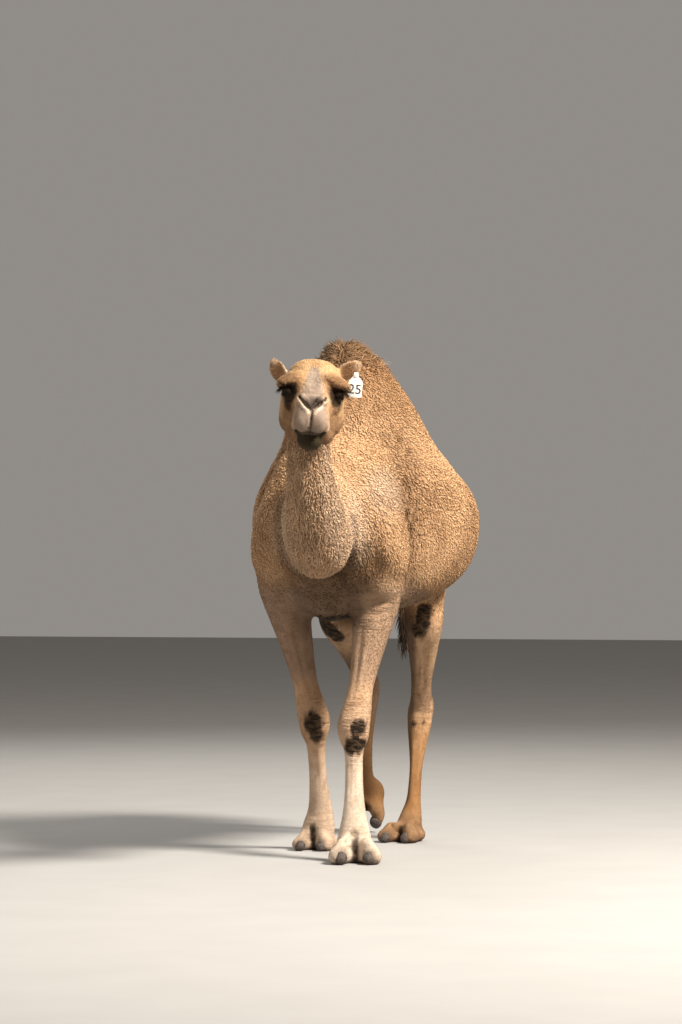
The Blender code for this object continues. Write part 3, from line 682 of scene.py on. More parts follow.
def numbers(mesh):
    """The points and the triangles of a mesh."""
    points = np.empty(len(mesh.vertices) * 3, np.float32)
    mesh.vertices.foreach_get("co", points)
    mesh.calc_loop_triangles()
    triangles = np.empty(len(mesh.loop_triangles) * 3, np.int32)
    mesh.loop_triangles.foreach_get("vertices", triangles)
    return points.reshape(-1, 3).astype(float), triangles.reshape(-1, 3)


def normals_of(points, triangles):
    """A normal for every point, from the triangles round it."""
    a, b, c = (points[triangles[:, i]] for i in range(3))
    faces = np.cross(b - a, c - a)
    found = np.zeros_like(points)
    for i in range(3):
        for axis in range(3):
            found[:, axis] += np.bincount(triangles[:, i], faces[:, axis], len(points))
    return found / np.maximum(np.linalg.norm(found, axis=1), 1e-12)[:, None]


def eased(points, triangles, amount, rounds):
    """Draws every point towards the middle of its neighbours, by its own amount."""
    edges = np.vstack([triangles[:, [0, 1]], triangles[:, [1, 2]], triangles[:, [2, 0]]])
    count = np.maximum(np.bincount(edges[:, 0], minlength=len(points)), 1)[:, None]
    for _ in range(rounds):
        sums = [np.bincount(edges[:, 0], points[edges[:, 1], axis], len(points)) for axis in range(3)]
        middle = np.stack(sums, axis=1)
        points = points + (middle / count - points) * amount[:, None]
    return points


def step(value, low, high):
    """0 at low, 1 at high, smooth between; high may be the lesser."""
    share = np.clip((value - low) / (high - low), 0, 1)
    return share * share * (3 - 2 * share)


def in_frame(points, place):
    """The points in the frame that a matrix sets."""
    back = np.array(place.inverted())
    return points @ back[:3, :3].T + back[:3, 3]


def out_of_frame(points, place):
    """The points of a frame, where they are outside it."""
    out = np.array(place)
    return points @ out[:3, :3].T + out[:3, 3]


def turned(rays, place):
    """The directions of a frame, as they are outside it."""
    return rays @ np.array(place)[:3, :3].T


def headness(points):
    """1 on the head, fading out behind it."""
    return step(points[:, 2], 1.45, 1.55) * step(in_frame(points, HEAD_PLACE)[:, 1], 0.20, 0.12)


def off_path(points, path):
    """How far each point is from a path of straight runs, and how far along it is, from 0 to 1."""
    path = np.array(path, float)
    runs = np.linalg.norm(np.diff(path, axis=0), axis=1)
    starts = np.concatenate([[0], np.cumsum(runs)])
    nearest = np.full(len(points), 1e9)
    along = np.zeros(len(points))
    for i, run in enumerate(runs):
        ray = path[i + 1] - path[i]
        share = np.clip((points - path[i]) @ ray / run**2, 0, 1)
        away = np.linalg.norm(points - path[i] - share[:, None] * ray, axis=1)
        closer = away < nearest
        nearest[closer] = away[closer]
        along[closer] = (starts[i] + share[closer] * run) / starts[-1]
    return nearest, along


def blob(points, centre, radii, edge=0.45, place=None):
    """1 inside an ellipsoid, fading out over its edge."""
    if place:
        points = in_frame(points, place)
    return step(np.linalg.norm((points - centre) / radii, axis=1), 1 + edge, 1 - edge)


def both(points, centre, radii, edge=0.45, place=None):
    """The same on the left and on the right."""
    other = (-centre[0], *centre[1:])
    return np.maximum(blob(points, centre, radii, edge, place), blob(points, other, radii, edge, place))


def uneven(points, size):
    """A number that wavers between -1 and 1 from place to place, over about this size."""
    x, y, z = points.T / size
    first = np.sin(1.7 * x + 2.3 * y + 0.9 * z + 1.3 * np.sin(1.9 * z - 1.1 * x + 0.8 * y))
    second = np.sin(0.7 * y - 2.1 * x + 1.6 * z + 1.7 * np.sin(1.3 * x - 1.9 * y + 0.6 * z))
    return (first + second) / 2


def mirrored(path, hand):
    return [(x * hand, y, z) for x, y, z in path]


def off_both(points, path):
    """How far each point is from a path and its mirror image."""
    return np.minimum(off_path(points, path)[0], off_path(points, mirrored(path, -1))[0])


def linked(name, mesh):
    """A new object for a mesh, in the scene."""
    made = bpy.data.objects.new(name, mesh)
    bpy.context.scene.collection.objects.link(made)
    return made


def joined(clays, name):
    """One object holding the meshes of these clays."""
    mesh = bpy.data.meshes.new(name)
    whole = bmesh.new()
    for clay in clays:
        clay.to_mesh(mesh)
        whole.from_mesh(mesh)
        clay.free()
    whole.to_mesh(mesh)
    whole.free()
    made = linked(name, mesh)
    deselected()
    made.select_set(True)
    bpy.context.view_layer.objects.active = made
    return made


def modified(made, kind, **settings):
    """Adds a modifier and turns it into mesh."""
    modifier = made.modifiers.new(kind.lower(), kind)
    for name, value in settings.items():
        setattr(modifier, name, value)
    bpy.context.view_layer.objects.active = made
    bpy.ops.object.modifier_apply(modifier=modifier.name)


def thinned(skin, chosen, left):
    """Thins the chosen points' faces alone, until so many triangles of theirs are left."""
    group = skin.vertex_groups.new(name="thinned")
    group.add(np.flatnonzero(chosen).tolist(), 1.0, "REPLACE")
    group.add(np.flatnonzero(~chosen).tolist(), 0.0, "REPLACE")
    _, triangles = numbers(skin.data)
    spared = (~chosen)[triangles[:, 0]].sum()
    modified(skin, "DECIMATE", ratio=(spared + left) / len(triangles), vertex_group=group.name)
    skin.vertex_groups.clear()


def fused_skin():
    """The clay as one closed skin, thinned more behind the head."""
    clays = body_clays() + paired(SKIN_PAIRS, -1, HEAD_PLACE) + paired(SKIN_PAIRS, 1, HEAD_PLACE)
    skin = joined(clays + [ear_clay(name) for name in EARS], "skin")
    modified(skin, "REMESH", mode="VOXEL", voxel_size=VOXEL)
    points, triangles = numbers(skin.data)
    high = points[:, 2]
    trailing = points[:, 1] > TRAILING_BEHIND
    low = np.maximum(step(high, 0.24, 0.16), step(high, 0.34, 0.26) * trailing)
    ease = 0.04 + 0.46 * step(high, 0.72, 1.0) * (1 - headness(points)) + (0.08 + 0.16 * trailing) * low
    set_points(skin.data, eased(points, triangles, ease, 60))
    for left, is_foot in ((BODY_TRIANGLES, False), (FEET_TRIANGLES, True)):
        points, _ = numbers(skin.data)
        head = (points[:, 2] > HEAD_ABOVE) & (in_frame(points, HEAD_PLACE)[:, 1] < 0.17)
        feet = (points[:, 2] < 0.16) | ((points[:, 1] > TRAILING_BEHIND) & (points[:, 2] < 0.30))
        thinned(skin, feet if is_foot else ~head & ~feet, left)
    return skin


def refined(skin, chosen):
    """Splits the edges of the chosen faces once, and squares up what is left."""
    shape = bmesh.new()
    shape.from_mesh(skin.data)
    places = np.array([vertex.co for vertex in shape.verts])
    wanted = chosen(in_frame(places, HEAD_PLACE), places)
    edges = [edge for edge in shape.edges if wanted[edge.verts[0].index] and wanted[edge.verts[1].index]]
    bmesh.ops.subdivide_edges(shape, edges=edges, cuts=1, use_grid_fill=True)
    bmesh.ops.triangulate(shape, faces=shape.faces)
    shape.to_mesh(skin.data)
    shape.free()


def near_face(inside, places):
    return (places[:, 2] > HEAD_ABOVE) & (inside[:, 1] < 0.045)


def near_features(inside, places):
    """Round the eyes and at the nose."""
    eye = np.abs(inside) - (EYE_AT.x, 0, 0)
    eye[:, 1] = inside[:, 1] - EYE_AT.y
    nose = (inside[:, 1] < -0.205) & (inside[:, 2] > -0.050)
    return (places[:, 2] > HEAD_ABOVE) & ((np.linalg.norm(eye, axis=1) < 0.032) | nose)


skin = fused_skin()
refined(skin, near_face)
refined(skin, near_features)
points, triangles = numbers(skin.data)

# the brows run smoothly into the forehead
is_head = headness(points)
brow = both(in_frame(points, HEAD_PLACE), (0.085, 0.02, 0.045), (0.06, 0.10, 0.05))
points = eased(points, triangles, 0.10 + 0.40 * brow * is_head, 9)


def stroked(points, path, radius, depth, place=HEAD_PLACE, fade=0.16):
    """Presses a groove along a path, or raises a ridge where the depth is negative."""
    away, along = off_path(in_frame(points, place), path)
    near = away < radius * 3
    fall = np.exp(-((away / radius) ** 2)) * step(along, -0.04, fade) * step(along, 1.04, 1 - fade)
    normals = normals_of(points, triangles)
    moved = points.copy()
    moved[near] -= normals[near] * (fall * depth)[near, None]
    return moved


def carved(points, strokes, place, fade):
    """Every stroke of a list in turn, on both sides, or once where it runs down the middle."""
    for path, radius, depth in strokes:
        for hand in (1, -1) if any(x for x, _, _ in path) else (1,):
            points = stroked(points, mirrored(path, hand), radius, depth, place, fade)
    return points


def laid(path, place=HEAD_PLACE):
    """The path, drawn to the nearest points of the skin."""
    inside = in_frame(points, place)
    return [tuple(inside[np.linalg.norm(inside - corner, axis=1).argmin()]) for corner in path]


NOSTRIL, NOSE_RIM, NOSE_WING = map(laid, (
    [(0.052, -0.240, 0.015), (0.041, -0.258, 0.003), (0.023, -0.268, -0.014), (0.005, -0.278, -0.031)],
    [(0.059, -0.242, 0.004), (0.048, -0.260, -0.009), (0.030, -0.273, -0.025), (0.011, -0.283, -0.042)],
    [(0.048, -0.224, 0.024), (0.034, -0.242, 0.014), (0.016, -0.258, -0.001), (0.004, -0.268, -0.016)],
))
PHILTRUM = [(0, -0.276, -0.030), (0, -0.296, -0.070), (0, -0.292, -0.112)]
MOUTH = [(0, -0.275, -0.124), (0.032, -0.264, -0.126), (0.052, -0.228, -0.124), (0.064, -0.175, -0.116)]
FACE_STROKES = [  # path, radius, depth
    (NOSE_WING, 0.008, -0.004),
    (NOSE_RIM, 0.006, -0.004),
    (NOSTRIL, 0.0046, 0.012),
    (PHILTRUM, 0.0062, 0.012),
    ([(0.046, -0.274, -0.108), (0.060, -0.240, -0.112)], 0.020, 0.008),  # the pads of the lip round off
    ([(0, -0.296, -0.092), (0, -0.290, -0.126)], 0.012, 0.010),  # between the pads of the lip
    (MOUTH, 0.0085, 0.016),
    ([(0.050, -0.245, -0.108), (0.060, -0.205, -0.104), (0.066, -0.165, -0.098)], 0.009, -0.004),  # upper lip
    ([(0.080, -0.058, 0.026), (0.102, -0.038, 0.032), (0.126, 0.010, 0.034)], 0.011, -0.004),  # brow
    ([(0.066, -0.072, 0.002), (0.092, -0.052, 0.016), (0.120, -0.010, 0.018)], 0.007, 0.005),  # under it
    ([(0.086, -0.040, -0.020), (0.074, -0.090, -0.040), (0.062, -0.150, -0.050)], 0.012, 0.003),  # tear line
    ([(0.080, -0.020, -0.110), (0.070, -0.090, -0.112), (0.062, -0.150, -0.106)], 0.018, 0.004),  # cheek
    ([(0.100, 0.060, 0.010), (0.098, 0.100, 0.030)], 0.020, 0.008),  # temple
    ([(0, 0.012, 0.082), (0.012, 0.010, 0.081), (0.020, 0.004, 0.077)], 0.004, 0.0025),  # frown
    ([(0, -0.110, 0.020), (0, -0.040, 0.046), (0, 0.040, 0.088)], 0.016, 0.004),  # between the brows
]
SHOULDER_FOLD = [
    (0.225, -0.20, 1.60), (0.262, -0.27, 1.51), (0.288, -0.303, 1.39), (0.301, -0.308, 1.27),
    (0.298, -0.292, 1.18), (0.271, -0.256, 1.08), (0.225, -0.15, 1.00),
]
BREAST_FOLD = [
    (0.152, -0.72, 1.30), (0.142, -0.66, 1.20), (0.100, -0.58, 1.12), (0.030, -0.54, 1.08),
    (-0.050, -0.54, 1.085), (-0.120, -0.57, 1.14), (-0.135, -0.63, 1.25), (-0.134, -0.62, 1.38),
]
BODY_STROKES = [
    (SHOULDER_FOLD, 0.044, 0.036),
    ([(0.262, 0.42, 0.995), (0.256, 0.42, 0.925)], 0.012, 0.012),  # fold in front of the thigh
    ([(0.125, -0.45, 1.02), (0.185, -0.44, 1.03), (0.240, -0.39, 1.05)], 0.014, 0.012),  # over the elbow
    ([(0.120, -0.44, 0.975), (0.180, -0.44, 0.985), (0.238, -0.38, 1.00)], 0.012, 0.011),
    ([(0.135, -0.46, 1.075), (0.190, -0.45, 1.070), (0.248, -0.39, 1.090)], 0.012, 0.009),
    ([(0.130, -0.44, 0.945), (0.175, -0.44, 0.952), (0.225, -0.38, 0.970)], 0.010, 0.006),
    ([(0.10, -0.50, 1.10), (0.11, -0.45, 1.03), (0.10, -0.40, 0.98)], 0.024, 0.016),  # foreleg meets chest
    ([(0.330, 0.30, 1.10), (0.300, 0.42, 1.00), (0.240, 0.50, 0.96)], 0.040, 0.020),  # flank
]
HOCK_STROKES = [  # down the outside of the standing hock and across its front: path, depth
    ([(0.215, 0.54, 0.72), (0.212, 0.57, 0.64), (0.208, 0.60, 0.56), (0.200, 0.60, 0.47)], 0.011),
    ([(0.130, 0.53, 0.60), (0.150, 0.52, 0.575), (0.178, 0.53, 0.585)], 0.006),
]
CLEFT = [(0, -0.050, 0.104), (0, -0.062, 0.080), (0, -0.066, 0.050), (0, -0.066, 0.022)]
points = carved(points, FACE_STROKES, HEAD_PLACE, 0.16)
points = carved(points, BODY_STROKES, Matrix(), 0.4)
points = stroked(points, BREAST_FOLD, 0.024, 0.030, Matrix())
for _, joints, _ in LEGS.values():
    for bone, apart, radius, depth in ((1, 0.027, 0.013, 0.008), (2, 0.014, 0.008, 0.004)):
        run = [Vector(joints[bone]).lerp(Vector(joints[bone + 1]), share) for share in (0.20, 0.50, 0.85)]
        for hand in (-1, 1):  # a groove on each side of the tendons down the front
            groove = laid([(x + apart * hand, y - 0.09, z) for x, y, z in run], Matrix())
            points = stroked(points, groove, radius, depth, Matrix(), 0.3)
for path, depth in HOCK_STROKES:
    points = stroked(points, laid(path, Matrix()), 0.010, depth, Matrix(), 0.2)
for name in LEGS:
    points = stroked(points, laid(CLEFT, foot_place(name)), 0.012, 0.022, foot_place(name))

# the lids stand round each eyeball, with an almond opening between them
GAZE = Vector((0.68, -0.73, 0.03)).normalized()
LID = 1.10  # how far out a lid lies, in radii of the eyeball
LID_REACH = 1.75  # how far round the eye the skin is shaped
SUNKEN = 0.82  # where the skin hides behind the opening
OPENING = (math.radians(56), math.radians(30), math.radians(36))  # half width, up, down


def eye_axes(hand):
    """The middle of an eye, and its gaze, its forward corner and its up, in the head's frame."""
    gaze = Vector((GAZE.x * hand, GAZE.y, GAZE.z))
    up = Vector((0, 0, 1))
    up = (up - gaze * up.dot(gaze)).normalized()
    return Vector((EYE_AT.x * hand, EYE_AT.y, EYE_AT.z)), gaze, gaze.cross(up) * -hand, up


def seen_from_eye(inside, hand):
    """The rays from an eye to points, their lengths, and their angles sideways and upwards from its gaze."""
    middle, gaze, corner, up = (np.array(axis) for axis in eye_axes(hand))
    ray = inside - middle
    away = np.linalg.norm(ray, axis=1)
    ahead_of, aside_of, above = (ray @ axis for axis in (gaze, corner, up))
    return ray, away, np.arctan2(aside_of, ahead_of), np.arctan2(above, np.hypot(ahead_of, aside_of))


def almond(across, above):
    """Under 1 inside the opening of the lids, over 1 outside it."""
    tall = np.where(above > 0, OPENING[1], OPENING[2])
    narrowing = np.clip(1.06 - (across / 1.25) ** 2, 0.3, 1)
    return np.hypot(across / OPENING[0], (above + 0.10 * across) / (tall * narrowing))


for hand in (1, -1):
    inside = in_frame(points, HEAD_PLACE)
    middle, gaze, _, _ = (np.array(axis) for axis in eye_axes(hand))
    ray, away, across, above = seen_from_eye(inside, hand)
    near = (away < EYE_RADIUS * LID_REACH) & (ray @ gaze > -0.2 * EYE_RADIUS)
    opening = almond(across, above)
    lid = EYE_RADIUS * (LID + 0.07 * np.exp(-(((opening - 1.14) / 0.10) ** 2)))  # with a rolled edge
    fold = 0.05 * np.exp(-(((opening - 1.55) / 0.12) ** 2)) * (above > 0)
    wanted = np.maximum(away, lid) - EYE_RADIUS * fold
    inner = step(opening, 1.10, 0.96)
    wanted = wanted * (1 - inner) + EYE_RADIUS * SUNKEN * inner
    share = step(away, EYE_RADIUS * LID_REACH, EYE_RADIUS * 1.30)
    moved = ray / np.maximum(away, 1e-9)[:, None] * (wanted * share + away * (1 - share))[:, None]
    inside[near] = moved[near] + middle
    points = np.where(near[:, None], out_of_frame(inside, HEAD_PLACE), points)
points = eased(points, triangles, 0.25 * is_head, 1)


# ---------------------------------------------------------------- what grows where
def strongest(*marks):
    """The strongest of several marks at each point."""
    return np.maximum.reduce(marks)


def zones(points):
    """How much each point belongs to each part of the animal, from 0 to 1."""
    x, y, z = points.T
    face = in_frame(points, HEAD_PLACE)
    jaw = -0.190 + 0.55 * np.clip(face[:, 1] - 0.03, 0, 0.2)
    head = step(z, 1.46, 1.54) * step(face[:, 1], 0.20, 0.13) * step(face[:, 2] - jaw, -0.030, 0.005)
    spine, along_neck = off_path(points, [row[:3] for row in NECK])
    neck = step(along_neck, 0.98, 0.78) * step(spine, 0.26, 0.20) * (1 - head) * step(y, -0.50, -0.62)
    tail = step(y, 0.865, 0.895) * step(np.abs(x - 0.015), 0.10, 0.07)
    tail = tail * step(z, 1.40, 1.34) * step(z, 0.70, 0.74)
    elbow = step(y, -0.05, -0.26) * step(np.abs(x), 0.03, 0.09)
    leg = step(z - 0.10 * elbow, 1.04, 0.90) * (1 - tail)
    hump = step(z, 1.55, 1.72) * step(np.abs(y - 0.08), 0.75, 0.60)
    crest = step(z + 0.25 * np.minimum(-0.02 - x, 0), HUMP_TOP - 0.17, HUMP_TOP - 0.06) * (y > -0.6)
    trunk = (1 - head) * (1 - neck) * (1 - leg) * (1 - tail)
    ear = strongest(*(step(off_path(face, [root, tip])[0], 0.052, 0.040) for root, tip, _ in EARS.values()))
    ear = ear * step(np.abs(face[:, 0]), 0.088, 0.100) * step(face[:, 1], 0.07, 0.09)
    parts = {"head": head, "neck": neck, "along_neck": along_neck, "tail": tail, "leg": leg, "hump": hump}
    return parts | {"crest": crest, "trunk": trunk, "ear": ear, "face": face}


def hair_depth(points):
    """How far the skin lies under the outline of the coat."""
    zone = zones(points)
    woolly = np.clip(zone["trunk"] + zone["neck"], 0, 1)
    depth = FUR_DEPTH + (WOOL_DEPTH - FUR_DEPTH) * woolly
    depth = depth + TUFT_DEPTH * zone["crest"]
    depth = depth * (1 - 0.70 * zone["head"]) + 0.006 * zone["tail"]
    return np.where(zone["ear"] > 0.5, EAR_DEPTH, depth)


CALLUSES = [  # where leather pads run, and their reach: the knees, the stifles and the breastbone
    ([(0.138, -0.53, 0.522), (0.132, -0.53, 0.500)], (0.028, 0.09, 0.026)),
    ([(0.136, -0.53, 0.452), (0.116, -0.53, 0.440)], (0.036, 0.09, 0.032)),
    ([(-0.116, -0.20, 0.526), (-0.114, -0.20, 0.500)], (0.036, 0.09, 0.034)),
    ([(-0.102, -0.20, 0.464), (-0.107, -0.20, 0.453)], (0.029, 0.09, 0.024)),
    ([(0.234, 0.33, 0.950), (0.230, 0.33, 0.905), (0.208, 0.33, 0.868)], (0.029, 0.10, 0.030)),
    ([(-0.212, 0.30, 0.928), (-0.130, 0.30, 0.832)], (0.034, 0.11, 0.034)),
    ([(-0.045, -0.34, 0.925), (0.045, -0.34, 0.925)], (0.042, 0.13, 0.032)),
]


def callused(points):
    """1 on the leather pads, with ragged edges, and the worn dark hair round them."""
    ragged = 1 + 0.16 * uneven(points, 0.016) + 0.08 * uneven(points, 0.006)
    near = np.full(len(points), 9.0)
    for path, reach in CALLUSES:
        away, _ = off_path(points / reach, np.array(path) / reach)
        near = np.minimum(near, away * ragged)
    return step(near, 1.14, 0.84), step(near, 1.60, 0.80)


BLAZE = [(0, 0.02, 0.078), (0, -0.05, 0.046), (0, -0.12, 0.024), (0, -0.21, 0.010)]  # down the face
TEAR = [(0.092, -0.040, -0.020), (0.086, -0.061, -0.045), (0.086, -0.100, -0.060)]  # below the left eye


def eye_marks(head, ragged):
    """The dark rims of the eyes, the dark skin and painted shade of their sockets, and the streaks below
    them.
    """
    found = []
    for hand in (1, -1):
        _, away, across, above = seen_from_eye(head, hand)
        found += [
            step(away, EYE_RADIUS * 1.9, EYE_RADIUS * 1.2) * step(almond(across, above), 1.9, 1.25),
            # dark skin and painted shade in the socket under the brow
            blob(head * ragged[:, None], (0.094 * hand, -0.040, -0.006), (0.050, 0.062, 0.043), 0.25),
            (0.67 - 0.18 * hand) * step(off_path(head, mirrored(TEAR, hand))[0], 0.019, 0.007),
        ]
    return strongest(*found)


def face_marks(zone):
    """The marks on the head: each colour has a list of them."""
    head = zone["face"]
    on_head = zone["head"]
    x, y, z = head.T
    crown = step(y, -0.12, -0.04) * step(z, -0.03, 0.04)
    cheek = both(head, (0.09, 0.02, -0.07), (0.05, 0.09, 0.06))
    ridge, along = off_path(head, BLAZE)
    ragged = 1 + 0.16 * uneven(head, 0.007) + 0.08 * uneven(head, 0.003)
    blaze = step(ridge * ragged, 0.029 + 0.048 * along, 0.009 + 0.034 * along)
    wavy = head + 0.005 * uneven(head, 0.007)[:, None]
    muzzle = blob(wavy, (0, -0.27, -0.066), (0.064, 0.090, 0.078), 0.25)
    muzzle = np.maximum(muzzle, blob(wavy, (0, -0.240, 0.004), (0.062, 0.050, 0.030), 0.4))
    widening = np.interp(z, (-0.034, -0.014, 0.003, 0.018), (0.002, 0.022, 0.038, 0.048))
    bridge = step(np.abs(x) - widening, 0.003, -0.005) * step(z, 0.020, 0.004) * step(y, -0.20, -0.22)
    brow = both(head, (0.088, -0.034, 0.042), (0.052, 0.042, 0.034), 0.5)
    chin = step(z + 0.12 * np.abs(x), -0.116, -0.124) * step(y, -0.13, -0.18)
    bowl = 0.064 * np.sqrt(np.clip(1 - ((-0.116 - z) / 0.074) ** 2, 0, 1))  # it rounds off downwards
    chin = chin * step(np.abs(wavy[:, 0]), bowl, bowl - 0.008) * (1 - 0.12 * step(z, -0.155, -0.190))
    nostril = off_both(head, NOSTRIL)
    return {
        "gold": [on_head * np.clip(crown + cheek, 0, 1) * 0.92],
        "grey": [on_head * np.maximum(blaze * 0.9, muzzle * 0.9)],
        "cream": [
            on_head * both(head, (0.064, -0.19, -0.105), (0.014, 0.05, 0.035)) * 0.7,  # corner of the lips
            # painted highlight along the raised rim under each nostril
            on_head * step(off_both(head, NOSE_RIM), 0.009, 0.004) * 0.9,
        ],
        "umber": [
            on_head * 0.85 * both(head, (0.075, -0.055, 0.022), (0.035, 0.055, 0.030)),  # over the eyes
            on_head * 0.8 * both(head, (0.085, -0.10, -0.075), (0.035, 0.10, 0.050)),  # under them
            on_head * 0.85 * step(z, -0.075, -0.118),
            on_head * 0.70 * bridge,
            on_head * (0.82 + 0.14 * np.sign(x)) * brow,
        ],
        "brown": [
            on_head * eye_marks(head, ragged) * 0.95,
            on_head * step(nostril, 0.007, 0.003) * 0.95,
            on_head * (bridge * (0.50 + 0.38 * step(z + 0.004 * uneven(head, 0.008), 0.012, -0.016))),
        ],
        "olive": [on_head * np.maximum(chin, step(off_both(head, MOUTH), 0.020, 0.011))],
        "bare": [on_head * step(nostril, 0.006, 0.003)],
    }


def ear_marks(zone):
    """The dark hollow of each ear, and the pale hair in its tip and along its edges."""
    umber = []
    cream = []
    for root, tip, facing in EARS.values():
        aside, thick, along = in_frame(zone["face"], frame_of(root, tip, facing)).T
        long = (Vector(tip) - Vector(root)).length
        half = np.interp(along / long, [row[0] for row in EAR_ROWS], [row[1] for row in EAR_ROWS])
        share = along / long + 0.10 * uneven(zone["face"], 0.012)
        hollow = zone["ear"] * step(thick + 0.010 * (aside / 0.034) ** 2, 0.003, -0.004)
        deep = 0.95 * hollow * step(np.abs(aside) / half, 0.90, 0.55) * step(along, -0.02, 0.02)
        near = zone["ear"] * (along > 0.01) * (np.abs(thick) < 0.03) * (np.abs(aside) < 0.05)
        umber.append(deep * step(share, 1.05, 0.65))
        cream.append(0.30 * hollow * step(share, 0.50, 0.95))
        cream.append(0.8 * near * step(np.abs(aside) / half, 0.70, 0.95))
    return {"umber": umber, "cream": cream}


def foot_marks(points):
    """The dark soles, and painted shade in the clefts between the toes and under the hair over each nail."""
    umber = []
    brown = []
    for name in LEGS:
        foot = in_frame(points, foot_place(name))
        # painted shade in the cleft between the toes
        cleft_shade = step(np.abs(foot[:, 0]), 0.017, 0.006) * step(np.abs(foot[:, 1] + 0.070), 0.052, 0.040)
        over = np.add(NAIL_AT, (0, 0.004, 0.006))
        # painted shade under the hair over each nail
        nail_shade = both(foot, over, np.multiply(NAIL_SIZE, (1.35, 1.4, 1.55)), 0.5)
        near = np.linalg.norm(foot - (0, -0.02, 0.02), axis=1) < 0.16
        umber.append(0.8 * nail_shade)
        brown.append(0.55 * nail_shade)
        brown.append(0.90 * cleft_shade * step(foot[:, 2], 0.118, 0.098) * step(foot[:, 2], -0.02, -0.01))
        brown.append(0.75 * near * step(foot[:, 2] + 0.004 * uneven(points, 0.010), 0.014, 0.007))
    return {"umber": umber, "brown": brown}


